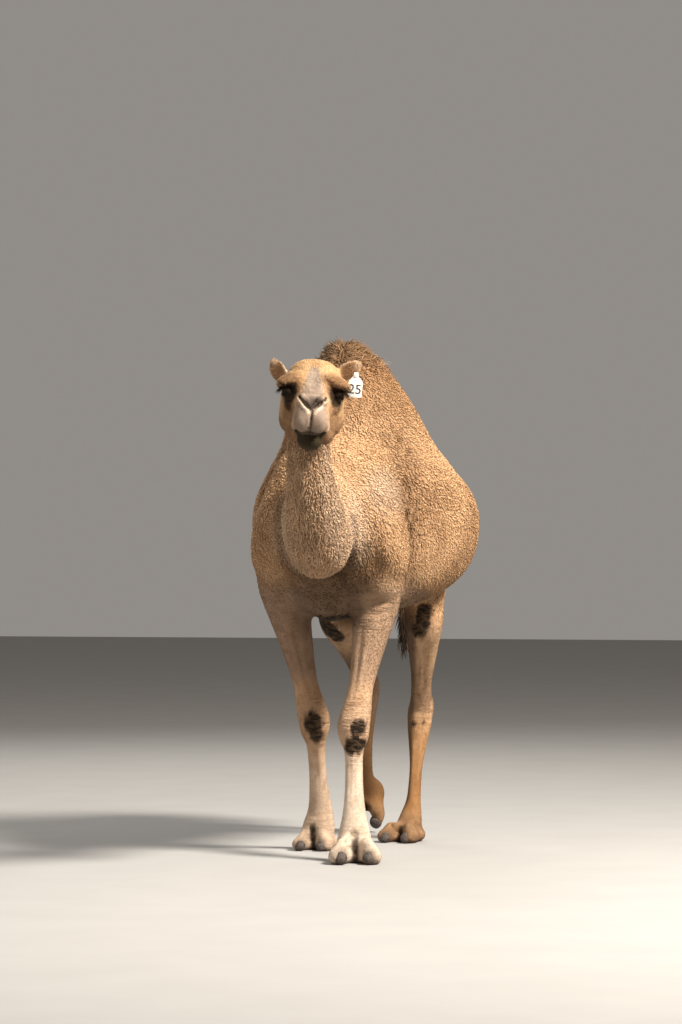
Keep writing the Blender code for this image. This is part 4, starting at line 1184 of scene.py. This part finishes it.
def body_marks(points, zone):
    """The marks on the neck, the trunk, the legs and the tail."""
    x, y, z = points.T
    neck = zone["neck"]
    fore = step(y, 0.22, 0.16)
    hind = 1 - fore
    callus, worn = callused(points)
    # the lit sides of the neck, which get a painted highlight in cream
    lit = step(x, 0.105, 0.150) + 0.5 * step(x, 0.010, -0.020)
    mane = neck * step(np.abs(x - 0.08), 0.075, 0.030) * step(zone["along_neck"], 0.75, 0.45)
    fold = off_both(points, SHOULDER_FOLD)
    # painted shade in the fold behind the shoulder
    shoulder_fold_shade = step(fold, 0.060, 0.010) * step(z, 1.02, 1.12) * step(z, 1.50, 1.36)
    shoulder_fold_shade = shoulder_fold_shade * (0.7 + 0.4 * uneven(points, 0.03))
    # painted shade under the chest, between the forelegs
    under = step(z, 1.22, 1.02) * step(z, 0.84, 0.92) * step(np.abs(x), 0.20, 0.10) * step(y, -0.74, -0.60)
    # painted shadow of the neck on the chest, to the right of its base
    neck_shadow_on_chest = blob(points, (0.135, -0.53, 1.14), (0.105, 0.13, 0.120), 0.4)
    neck_shadow_on_chest = neck_shadow_on_chest * (0.85 + 0.25 * uneven(points, 0.03))
    forearm = fore * step(z, 1.14, 1.02) * step(z, 0.60, 0.74) * step(np.abs(x), 0.33, 0.29)
    middle = np.interp(z, (0.03, 0.165, 0.53, 0.93), (0.130, 0.148, 0.160, 0.215))  # of a hind leg
    # painted shade on the inner side of each hind leg, away from the light
    inner = hind * step(z, 1.00, 0.90) * step(z, 0.10, 0.20) * step(np.abs(x) - middle, -0.002, -0.026)
    inner = inner * (1 - (x < 0) * step(z, 0.70, 0.82))
    shank = np.maximum(0.34 * step(np.abs(z - 0.61), 0.16, 0.04), 0.36 * step(z, 0.15, 0.06))
    shank = hind * shank * (0.80 + 0.35 * uneven(points, 0.024))
    trailing = in_frame(points, foot_place("hind_right"))
    shaded = step(np.abs(trailing[:, 2] - 0.04), 0.10, 0.08) * step(trailing[:, 0], -0.022, -0.046)
    dint_shade = both(points, (0.146, 0.56, 0.482), (0.011, 0.05, 0.013))  # painted shade in small dints below the hock
    dint_shade = dint_shade + both(points, (0.185, 0.56, 0.484), (0.008, 0.05, 0.010))
    # painted shade in the dints, under the chest, on the chest and inside the hind legs, with the darker hind
    # shanks
    dark = 0.8 * hind * np.clip(dint_shade, 0, 1) + 0.40 * under + 0.40 * neck_shadow_on_chest + np.maximum(0.55 * inner, shank)
    stocking = fore * (0.80 * step(z, 0.46, 0.30) + 0.25 * step(z, 0.75, 0.55))
    creased = strongest(
        blob(points, (0.122, -0.50, 0.52), (0.09, 0.10, 0.13)),  # the knees
        blob(points, (-0.118, -0.17, 0.53), (0.09, 0.10, 0.12)),
        both(points, (0.17, -0.44, 1.00), (0.12, 0.12, 0.13)),  # the elbows
        0.3 * fore * step(z, 0.22, 0.10),
        0.35 * both(points, (0.16, 0.60, 0.54), (0.09, 0.10, 0.09)),  # the hocks
    )
    return {
        "gold": [0.30 * neck * step(zone["along_neck"], 0.5, 0.2)],
        "cream": [
            # less cream on the right foreleg: painted shade on the side away from the light
            stocking * (1 - 0.45 * step(x, 0.02, -0.02)),
            # cream on the neck, paler on its lit sides: painted highlight
            (0.16 + 0.26 * lit) * neck,
            0.45 * blob(points, (0.215, -0.44, 1.42), (0.09, 0.12, 0.10), 0.6),  # painted highlight on the point of the shoulder
            0.9 * fore * step(np.abs(z - 0.385), 0.030, 0.015) * (x > 0),  # band under the knee
            0.12 * hind * step(z, 0.16, 0.06),
        ],
        "umber": [
            # painted shade along the shoulder fold
            0.70 * step(fold, 0.125, 0.030) * (0.75 + 0.45 * uneven(points, 0.022)),
            # painted shade in the crease under the base of the neck
            0.80 * step(off_path(points, BREAST_FOLD)[0], 0.060, 0.020),
            0.95 * under,
            0.85 * neck_shadow_on_chest,
            0.85 * inner,
            0.85 * worn,
            0.55 * blob(points, (-0.118, -0.20, 0.54), (0.075, 0.14, 0.13), 0.5),  # round the knees
            0.50 * blob(points, (0.118, -0.50, 0.55), (0.075, 0.14, 0.11), 0.5),
            # the lower right foreleg darker: painted shade on the side away from the light
            0.55 * fore * step(z, 0.60, 0.44) * step(x, 0.02, -0.04),
            # the right forearm darker still: darker fur, and painted shade on the side away from the light
            forearm * (0.62 + 0.27 * step(x, 0.02, -0.06)),
            0.42 * mane * step(y, -1.0, -1.06),
        ],
        "grey": [0.38 * forearm, 0.30 * hind * step(z, 0.98, 0.84) * step(z, 0.42, 0.56)],
        "rust": [
            hind * (0.34 * step(z, 0.85, 0.60) + 0.56 * step(z, 0.56, 0.24)),
            0.6 * (y > -0.6) * step(z, 1.60, 1.92) * step(x, -0.12, 0.02),
        ],
        "brown": [
            callus,
            (0.42 + 0.36 * step(x, -0.01, -0.08)) * zone["crest"],
            0.92 * zone["tail"] * step(z, 1.06, 0.92),
            0.9 * shaded * hind * (x < 0) * step(z, 0.30, 0.22),
            dark + 0.32 * shoulder_fold_shade,
        ],
        "bare": [callus],
        "woolly": [np.clip(zone["trunk"] + neck, 0, 1) * (1 - callus)],
        "creased": [creased * (1 - callus)],
    }


def markings(points):
    """The colours of the coat at each point, from 0 to 1, and where the skin is bare, woolly or creased."""
    zone = zones(points)
    parts = (face_marks(zone), ear_marks(zone), foot_marks(points), body_marks(points, zone))
    found = {}
    for name in ("gold", "cream", "umber", "grey", "rust", "brown", "olive", "bare", "woolly", "creased"):
        marks = [mark for part in parts for mark in part.get(name, ())]
        found[name] = np.clip(strongest(*marks), 0, 1)
    return found


def marked(mesh, name, values):
    """Writes one number for every point into the mesh."""
    mesh.attributes.new(name, "FLOAT", "POINT").data.foreach_set("value", values.astype(np.float32))


CORNER = np.array(PLAN_TO_FRAME)
normals = normals_of(points, triangles)
points = points - normals * hair_depth(points)[:, None]
points[:, 2] = np.maximum(points[:, 2], 0)
set_points(skin.data, points + CORNER)
for name, values in markings(points).items():
    marked(skin.data, name, values)
skin.data.materials.append(skin_finish())
skin.data.shade_smooth()
skin.data.update()
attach(skin, "root")
flesh = [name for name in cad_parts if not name.startswith(("eye_", "ear_tag", "nail_"))]
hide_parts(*flesh)


# ---------------------------------------------------------------- eyes, nails and tag
PUPIL = (0.001, 0.001, 0.0015)
IRIS = (0.006, 0.003, 0.002)
IRIS_STREAK = (0.020, 0.009, 0.004)
IRIS_EDGE = (0.012, 0.009, 0.008)
EYE_WHITE = (0.015, 0.009, 0.006)  # dark in a camel
HORN = (0.026, 0.019, 0.016)
HORN_WORN = (0.105, 0.082, 0.070)
TAG_PLASTIC = ((0.80, 0.80, 0.77), (0.50, 0.44, 0.34))  # clean, grimy
STUD_PLASTIC = ((0.66, 0.66, 0.62), (0.42, 0.36, 0.28))
INK = ((0.012, 0.012, 0.014), (0.05, 0.045, 0.04))
TAG_NUMBER = "25"


def eye_finish():
    """A wet dark eye: brown iris, wide level pupil, dark rim."""
    finish = Finish("wet eye")
    across = finish.own("across")
    above = finish.own("above")
    from_middle = (across * across + above * above) ** 0.5
    pupil = (across * across * 0.45 + above * above * 2.2) ** 0.5
    streaks = finish.noise(900, 3.0)
    colour = finish.mix(finish.ramp(pupil, 0.22, 0.30), PUPIL, finish.mix(streaks, IRIS, IRIS_STREAK))
    colour = finish.mix(finish.ramp(from_middle, 0.56, 0.68), colour, IRIS_EDGE)
    colour = finish.mix(finish.ramp(from_middle, 1.10, 1.40), colour, EYE_WHITE)
    finish.shade(base_color=colour, roughness=0.10, gloss=0.12)
    finish.shader.inputs["IOR"].default_value = 1.36
    return finish.material


def horn_finish():
    finish = Finish("nail horn")
    bands = finish.noise(60, 3.0, (5, 5, 1))
    worn = finish.noise(180, 4.0)
    colour = finish.mix(finish.ramp(bands * 0.6 + worn * 0.4, 0.35, 0.65), HORN, HORN_WORN)
    normal = finish.bump(bands, 0.4, 0.001)
    return finish.shade(base_color=colour, gloss=0.18, roughness=0.55 + worn * 0.2, normal=normal)


def plastic_finish(name, tints):
    finish = Finish(name)
    grime = finish.noise(70, 5.0)
    colour = finish.mix(finish.ramp(grime, 0.48, 0.8) * 0.5, *tints)
    fine = finish.noise(600, 2.0)
    normal = finish.bump(fine, 0.15, 0.0005)
    return finish.shade(base_color=colour, roughness=0.35 + grime * 0.25, normal=normal)


def finished(made, material, replaced):
    made.data.materials.clear()
    made.data.materials.append(material)
    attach(made, "root")
    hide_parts(replaced)


def moved_by(made, matrix):
    made.data.transform(matrix)
    made.data.update()


TO_FRAME = Matrix.Translation(PLAN_TO_FRAME)
IRIS_REACH = 0.66  # where the iris ends, as a share of the ball's radius
eye_material = eye_finish()
for side, hand in SIDES:
    bpy.ops.mesh.primitive_uv_sphere_add(segments=48, ring_count=32, radius=EYE_RADIUS)
    ball = kept(f"eyeball_{side}")
    middle, gaze, corner, up = eye_axes(hand)
    round_ball, _ = numbers(ball.data)
    forward = round_ball[:, 2] / EYE_RADIUS
    cornea = 1 + 0.07 * step(forward, 0.80, 0.98)
    set_points(ball.data, round_ball * cornea[:, None])
    for axis, name in enumerate(("across", "above")):  # 2 is beyond the rim of the iris
        marked(ball.data, name, np.where(forward < 0, 2.0, round_ball[:, axis] / EYE_RADIUS / IRIS_REACH))
    turn = Matrix((up.cross(gaze), up, gaze)).transposed().to_4x4()
    moved_by(ball, TO_FRAME @ HEAD_PLACE @ Matrix.Translation(middle) @ turn)
    ball.data.shade_smooth()
    finished(ball, eye_material, f"eye_{side}")

TRAILING_NAIL = 1.28  # the trailing foot shows its nails from the front
horn = horn_finish()
for leg in LEGS:
    for side, hand in (("outer", 1), ("inner", -1)):
        hand = hand if leg.endswith("left") else -hand
        bpy.ops.mesh.primitive_uv_sphere_add(segments=32, ring_count=20, radius=1)
        nail = kept(f"horn_{leg}_{side}")
        claw, _ = numbers(nail.data)
        low_down = step(claw[:, 2], 0.9, -0.7)
        in_front = claw[:, 1] < 0
        ridge = np.exp(-((claw[:, 0] / 0.35) ** 2)) * in_front
        claw[:, 0] *= 0.92 + 0.10 * low_down
        claw[:, 1] = np.where(in_front, claw[:, 1] * (0.62 + 0.36 * low_down), claw[:, 1])
        claw[:, 1] -= 0.06 * ridge * low_down
        set_points(nail.data, claw * NAIL_SIZE * (1.0 if LEGS[leg][2][0] else TRAILING_NAIL))
        at = Matrix.Translation((NAIL_AT[0] * hand, *NAIL_AT[1:]))
        turn = Matrix.Rotation(math.radians(8 * hand), 4, "Z")
        moved_by(nail, TO_FRAME @ foot_place(leg) @ (at @ turn))
        claw, _ = numbers(nail.data)
        claw[:, 2] = np.maximum(claw[:, 2], 0.0)  # nothing reaches into the ground
        set_points(nail.data, claw)
        nail.data.shade_smooth()
        finished(nail, horn, f"nail_{leg}_{side}")

TAG_AT = (0.153, 0.098, 0.068)  # the stud of the tag, in the head's frame
TAG_EDGE = [(-0.007, 0.010), (-0.010, -0.004), (-0.024, -0.020), (-0.0265, -0.027), (-0.0265, -0.078)]
TAG_EDGE += [(-0.022, -0.083)]
TAG_OUTLINE = TAG_EDGE + [(-x, z) for x, z in reversed(TAG_EDGE)]
tag_place = TO_FRAME @ HEAD_PLACE @ Matrix.Translation(TAG_AT)
plate = bpy.data.meshes.new("tag")
plate.from_pydata([(x, -0.0005, z) for x, z in TAG_OUTLINE], [], [range(len(TAG_OUTLINE))])
tag = linked("tag", plate)
modified(tag, "SOLIDIFY", thickness=0.0025, offset=1 if plate.polygons[0].normal.y < 0 else -1)
modified(tag, "BEVEL", width=0.0009, segments=3, limit_method="ANGLE")
moved_by(tag, tag_place)
tag.data.shade_smooth()
finished(tag, plastic_finish("tag plastic", TAG_PLASTIC), "ear_tag")
deselected()
bpy.ops.object.text_add()
number = bpy.context.object
number.data.body = TAG_NUMBER
number.data.size = 0.050
number.data.align_x = "CENTER"
number.data.extrude = 0.0003
bpy.ops.object.convert(target="MESH")
number = kept("tag_number")
moved_by(number, tag_place @ Matrix.Translation((0, -0.0031, -0.068)) @ Matrix.Rotation(math.pi / 2, 4, "X"))
number.data.materials.append(plastic_finish("tag ink", INK))
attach(number, "root")
deselected()


def disc(name, radius, depth, at=0.0):
    """A round plate or pin, square to the ear."""
    bpy.ops.mesh.primitive_cylinder_add(
        vertices=32, radius=radius, depth=depth, location=(0, at, 0), rotation=(math.pi / 2, 0, 0)
    )
    return kept(name)


stud = disc("tag_stud", 0.0034, 0.0325)
for at in (-0.0152, 0.0152):
    cap = disc("cap", 0.0076, 0.0028, at)
    stud.select_set(True)
    cap.select_set(True)
    bpy.context.view_layer.objects.active = stud
    bpy.ops.object.join()
    deselected()
modified(stud, "BEVEL", width=0.0006, segments=3, limit_method="ANGLE")
moved_by(stud, tag_place @ Matrix.Translation((0, 0.0118, 0)))
stud.data.shade_smooth()
finished(stud, plastic_finish("stud plastic", STUD_PLASTIC), "ear_tag_stud")

# ---------------------------------------------------------------- the coat
PATCH = 0.003  # how much of the coat's map a tuft takes


def blended(first, second, share):
    """Directions between two, by a share at each point."""
    return first * (1 - share)[:, None] + second * share[:, None]


def unit(rays):
    return rays / np.maximum(np.linalg.norm(rays, axis=1), 1e-12)[:, None]


def flow(points, normals):
    """The lie of the coat: backwards over the head, down the neck, the sides and the legs."""
    zone = zones(points)
    down = np.tile((0.0, 0.30, -1.0), (len(points), 1))
    down[:, 1] += 0.9 * step(points[:, 2], 1.35, 1.65) * (1 - zone["hump"])
    down[:, 0] += 0.7 * np.sign(points[:, 0] + 0.04) * step(points[:, 2], HUMP_TOP - 0.30, HUMP_TOP)
    down[:, 1] += 0.5 * step(points[:, 2], HUMP_TOP - 0.20, HUMP_TOP)
    runs = unit(np.diff([row[:3] for row in NECK], axis=0))
    part = np.clip((zone["along_neck"] * len(runs)).astype(int), 0, len(runs) - 1)
    face = np.tile((0.0, 1.0, -0.10), (len(points), 1))
    face[:, 0] += 0.5 * np.sign(zone["face"][:, 0]) * step(np.abs(zone["face"][:, 0]), 0.0, 0.05)
    face[:, 2] += 0.6 * step(zone["face"][:, 2], 0.02, 0.09)
    for root, tip, _ in EARS.values():
        to_tip = np.subtract(tip, root) / np.linalg.norm(np.subtract(tip, root))
        face = blended(face, to_tip, zone["ear"] * (zone["face"][:, 0] * to_tip[0] > 0))
    down = blended(down, runs[part] + (0, 0, -0.35), zone["neck"])
    down = blended(down, turned(face, HEAD_PLACE), zone["head"])
    return unit(down - normals * (down * normals).sum(axis=1)[:, None])


def scattered(weight, per_metre, seed):
    """Roots spread over the skin, so many to the square metre: their points and normals."""
    draw = np.random.default_rng(seed)
    a, b, c = (points[triangles[:, i]] for i in range(3))
    area = np.linalg.norm(np.cross(b - a, c - a), axis=1) / 2
    load = np.cumsum(area * weight[triangles].mean(axis=1)) * per_metre
    count = int(load[-1])
    chosen = np.searchsorted(load, np.arange(count) + draw.random(count))
    chosen = np.minimum(chosen, len(triangles) - 1)
    u, v = draw.random((2, count))
    fold = u + v > 1
    u = np.where(fold, 1 - u, u)
    v = np.where(fold, 1 - v, v)
    share = np.stack([1 - u - v, u, v], axis=1)[:, :, None]
    smooth = normals_of(points, triangles)
    roots = (points[triangles[chosen]] * share).sum(axis=1)
    out = (smooth[triangles[chosen]] * share).sum(axis=1)
    return roots, unit(out)


def tuft_faces(rings):
    """The triangles of one tuft: a foot, three sides to each ring and a point."""
    faces = [(0, 2, 1)]
    for ring in range(rings - 1):
        for k in range(3):
            a = ring * 3 + k
            b = ring * 3 + (k + 1) % 3
            faces += [(a, b, b + 3), (a, b + 3, a + 3)]
    last = (rings - 1) * 3
    return np.array(faces + [(last + k, last + (k + 1) % 3, last + 3) for k in range(3)])


def unwrapped(mesh, roots, out, shares, corners):
    """The map that the coat is baked on: each tuft is a small patch at its root's place on the
    skin, which is unwrapped on the six sides of a box."""
    count = len(roots)
    each = len(shares)
    low = roots.min(axis=0)
    size = np.ptp(roots, axis=0).max()
    side = np.abs(out).argmax(axis=1)
    front = out[np.arange(count), side] > 0
    flat = (roots - low) / size * 0.94 + 0.03
    u = (side + np.where(side == 0, flat[:, 1], flat[:, 0])) / 3
    v = (front + np.where(side == 2, flat[:, 1], flat[:, 2])) / 2
    across = np.append(np.tile((0.0, 0.5, 1.0), each // 3), 0.5)
    u = np.repeat(u, each) + (np.tile(across, count) - 0.5) * PATCH
    v = np.repeat(v, each) + (np.tile(shares, count) - 0.5) * PATCH
    layer = mesh.uv_layers.new(name="OFBake")
    layer.data.foreach_set("uv", np.stack([u, v], axis=1)[corners.ravel()].astype(np.float32).ravel())


def locks(name, finish, roots, out, lie, seed, long, wide, rise, droop, spread, curl=0.0, rings=3, pull=0.0):
    """Tufts as one mesh, from their roots, the way out of the skin and their lie. Lengths and widths are
    in metres and the angles in degrees: rise is how steeply a tuft leaves the skin, droop how far it
    bends back, spread how far it strays. Curl sways it, pull hangs it down."""
    draw = np.random.default_rng(seed)
    count = len(roots)
    aside = np.cross(out, lie)
    stray = np.radians(draw.normal(0, spread * 0.6, count) + spread * uneven(roots, 0.011))[:, None]
    straight = lie
    lie = straight * np.cos(stray) + aside * np.sin(stray)
    aside = aside * np.cos(stray) - straight * np.sin(stray)
    long = (long(roots) if callable(long) else long) * draw.uniform(0.70, 1.25, count)
    wide = (wide(roots) if callable(wide) else wide) * draw.uniform(0.75, 1.25, count)
    rise = np.radians(rise * draw.uniform(0.7, 1.3, count))
    droop = np.radians(droop * draw.uniform(0.7, 1.3, count))
    swing = curl * draw.uniform(-1, 1, count)
    thick = (0.75, 1.0, 0.72, 0.45)[:rings] if rings > 2 else (0.9, 0.8)
    at = roots - out * (0.12 * long)[:, None]
    body = []
    for ring in range(rings):
        share = ring / rings
        angle = rise - droop * share
        ahead_of = lie * np.cos(angle)[:, None] + out * np.sin(angle)[:, None]
        lift = out * np.cos(angle)[:, None] - lie * np.sin(angle)[:, None]
        for k in range(3):
            turn = 2 * math.pi * (k + 0.25) / 3
            edge = aside * (math.cos(turn) * 0.5) + lift * (math.sin(turn) * 0.32)
            body.append(at + edge * (wide * thick[ring])[:, None])
        sway = swing * math.cos(math.pi * share * 1.3)
        at = at + (ahead_of + aside * sway[:, None]) * (long / rings)[:, None]
        at[:, 2] -= pull * long / rings
    body.append(at)
    each = 3 * rings + 1  # points to a tuft
    places = np.stack(body, axis=1).reshape(-1, 3)
    places[:, 2] = np.maximum(places[:, 2], 0.0006)  # just clear of the ground
    corners = (tuft_faces(rings)[None] + (np.arange(count) * each)[:, None, None]).reshape(-1, 3)
    mesh = bpy.data.meshes.new(name)
    mesh.vertices.add(len(places))
    set_points(mesh, places + CORNER)
    mesh.loops.add(corners.size)
    mesh.loops.foreach_set("vertex_index", corners.astype(np.int32).ravel())
    mesh.polygons.add(len(corners))
    mesh.polygons.foreach_set("loop_start", np.arange(0, corners.size, 3, dtype=np.int32))
    mesh.update()
    mesh.shade_smooth()
    shares = np.concatenate([np.repeat(np.arange(rings) / rings, 3), [1.0]])
    marked(mesh, "tip", np.tile(shares, count))
    clump = 0.5 + 0.5 * uneven(roots + 3.0, 0.009)
    marked(mesh, "luck", np.repeat(0.55 * draw.random(count) + 0.45 * clump, each))
    for mark, values in markings(roots).items():
        marked(mesh, mark, np.repeat(values, each))
    unwrapped(mesh, roots, out, shares, corners)
    mesh.materials.append(finish)
    made = linked(name, mesh)
    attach(made, "root")


def grown(name, finish, weight, per_metre, long, wide, rise, droop, spread, **more):
    """Tufts that follow the lie of the coat, where the weight says, so many to the square metre."""
    seed = sum(map(ord, name))
    roots, out = scattered(weight, per_metre, seed)
    locks(name, finish, roots, out, flow(roots, out), seed, long, wide, rise, droop, spread, **more)


zone = zones(points)
hairy = (1 - markings(points)["bare"]) * step(points[:, 2], 0.006, 0.012)
left = step(points[:, 0], -0.005, 0.005)
wool = coat_finish("curly wool")
shag = coat_finish("throat locks", 700)
fur = coat_finish("short hair", 900, 0.65)


def quarters(front, rear_name):
    """The four quarters of the body: the end of each one's name, and how much each point belongs to it."""
    return [
        ("front_left", left * front),
        ("front_right", (1 - left) * front),
        (f"{rear_name}_left", left * (1 - front)),
        (f"{rear_name}_right", (1 - left) * (1 - front)),
    ]


def longer_up(short, more, low, high):
    """A length or width that grows, from short by more, between two heights."""
    return lambda roots: short + more * step(roots[:, 2], low, high)


def hump_length(roots):
    """The tuft on the hump grows in uneven clumps."""
    return 0.050 + 0.018 * uneven(roots, 0.025)


# the wool, and the locks under the throat and on the hump
wool_length = longer_up(0.0115, 0.0065, 1.10, 1.45)
wool_width = longer_up(0.0052, 0.0020, 1.10, 1.45)
wool_here = zone["trunk"] * hairy * (1 - zone["tail"])
for name, quarter in quarters(step(points[:, 1], 0.045, 0.035), "rear"):
    here = wool_here * quarter
    grown(f"wool_{name}", wool, here, 17000, wool_length, wool_width, 35, 80, 50, curl=0.3, rings=2)
normals = normals_of(points, triangles)
throat = zone["neck"] * step(-normals[:, 1] - 0.4 * normals[:, 2], 0.1, 0.6)
grown("neck_wool", wool, zone["neck"] * hairy, 20000, 0.018, 0.0062, 36, 66, 36, curl=0.3, rings=2)
grown("throat_locks", shag, throat * hairy, 8000, 0.040, 0.0058, 20, 34, 16, curl=0.25, rings=4, pull=0.1)
grown("hump_tuft", shag, zone["crest"], 36000, hump_length, 0.0052, 58, 78, 60, curl=0.7, rings=4)

# the short fur of the face
inside = zone["face"]
gap = np.ones(len(points))  # 0 on the eyes, the nostrils and the mouth
for _, hand in SIDES:
    gap *= step(seen_from_eye(inside, hand)[1], EYE_RADIUS * 1.30, EYE_RADIUS * 1.45)
for path, wide in ((NOSTRIL, 0.006), (MOUTH, 0.006), (PHILTRUM, 0.005)):
    for hand in (1, -1):
        gap *= step(off_path(inside, mirrored(path, hand))[0], wide * 0.8, wide * 1.3)
muzzle = zone["head"] * step(inside[:, 1], -0.14, -0.20)
chin = step(inside[:, 2], -0.118, -0.128) * step(inside[:, 1], -0.13, -0.18)
face = zone["head"] * gap * (1 - chin)
crown = zone["head"] * blob(inside, (0, 0.06, 0.095), (0.085, 0.09, 0.055), 0.5)
grown("muzzle_fur", fur, muzzle * face, 110000, 0.0055, 0.0018, 26, 22, 14, rings=2)
rest = zone["head"] * (1 - muzzle) * face * (1 - zone["ear"])
grown("face_fur", fur, rest * (1 - crown * 0.7), 57000, 0.0100, 0.0032, 24, 24, 16, rings=2)
grown("forelock", fur, crown, 42000, 0.0125, 0.0034, 22, 34, 22, curl=0.2)
grown("ear_fur", fur, zone["ear"] * zone["head"], 90000, 0.0085, 0.0022, 16, 14, 20, rings=2)


def lashes(name, hand, count, lid, long, rise, droop, seed):
    """A row of lashes along a lid, which is 1 for the upper and -1 for the lower one."""
    draw = np.random.default_rng(seed)
    middle, gaze, corner, up = (np.array(axis) for axis in eye_axes(hand))
    across = np.radians(np.linspace(-50, 52, count) + draw.uniform(-1, 1, count))
    tall = OPENING[1] if lid > 0 else OPENING[2]
    arch = np.sqrt(np.clip(1 - (across / OPENING[0]) ** 2, 0.02, 1))
    above = lid * tall * 1.04 * arch - 0.10 * across
    level = gaze * np.cos(across)[:, None] + corner * np.sin(across)[:, None]
    out = level * np.cos(above)[:, None] + up * np.sin(above)[:, None]
    roots = out_of_frame(middle + out * (EYE_RADIUS * (LID + 0.05)), HEAD_PLACE)
    lie = -up + corner * np.sin(across)[:, None] * 0.9 + gaze * 0.25
    lie = unit(lie - out * (lie * out).sum(axis=1)[:, None])
    out = turned(out, HEAD_PLACE)
    locks(name, fur, roots, out, turned(lie, HEAD_PLACE), seed, long, 0.0019, rise, droop, 5, rings=4)


LASHES = [  # row, how many, lid, length, rise, droop, seed
    ("upper", 84, 1, 0.031, 56, 40, 31),
    ("inner", 70, 1, 0.026, 38, 16, 32),
    ("lower", 40, -1, 0.013, 60, 20, 33),
]
for side, hand in SIDES:
    for row, *shape in LASHES:
        lashes(f"lashes_{row}_{side}", hand, *shape)

# the legs and the tail
leg_hair = longer_up(0.0060, 0.0045, 0.30, 0.95)
leg_width = longer_up(0.0021, 0.0013, 0.30, 0.95)
for name, quarter in quarters(step(points[:, 1], 0.185, 0.175), "hind"):
    grown(f"hair_{name}", fur, zone["leg"] * hairy * quarter, 26000, leg_hair, leg_width, 15, 18, 13, rings=2)
tail_top = zone["tail"] * step(points[:, 2], 1.02, 1.06)
brush = zone["tail"] * step(points[:, 2], 1.06, 1.00)
grown("tail_hair", fur, tail_top, 24000, 0.018, 0.004, 22, 24, 14, rings=3)
grown("tail_tuft", shag, brush, 20000, 0.058, 0.005, 22, 30, 16, curl=0.2, rings=4, pull=0.25)

low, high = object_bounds()
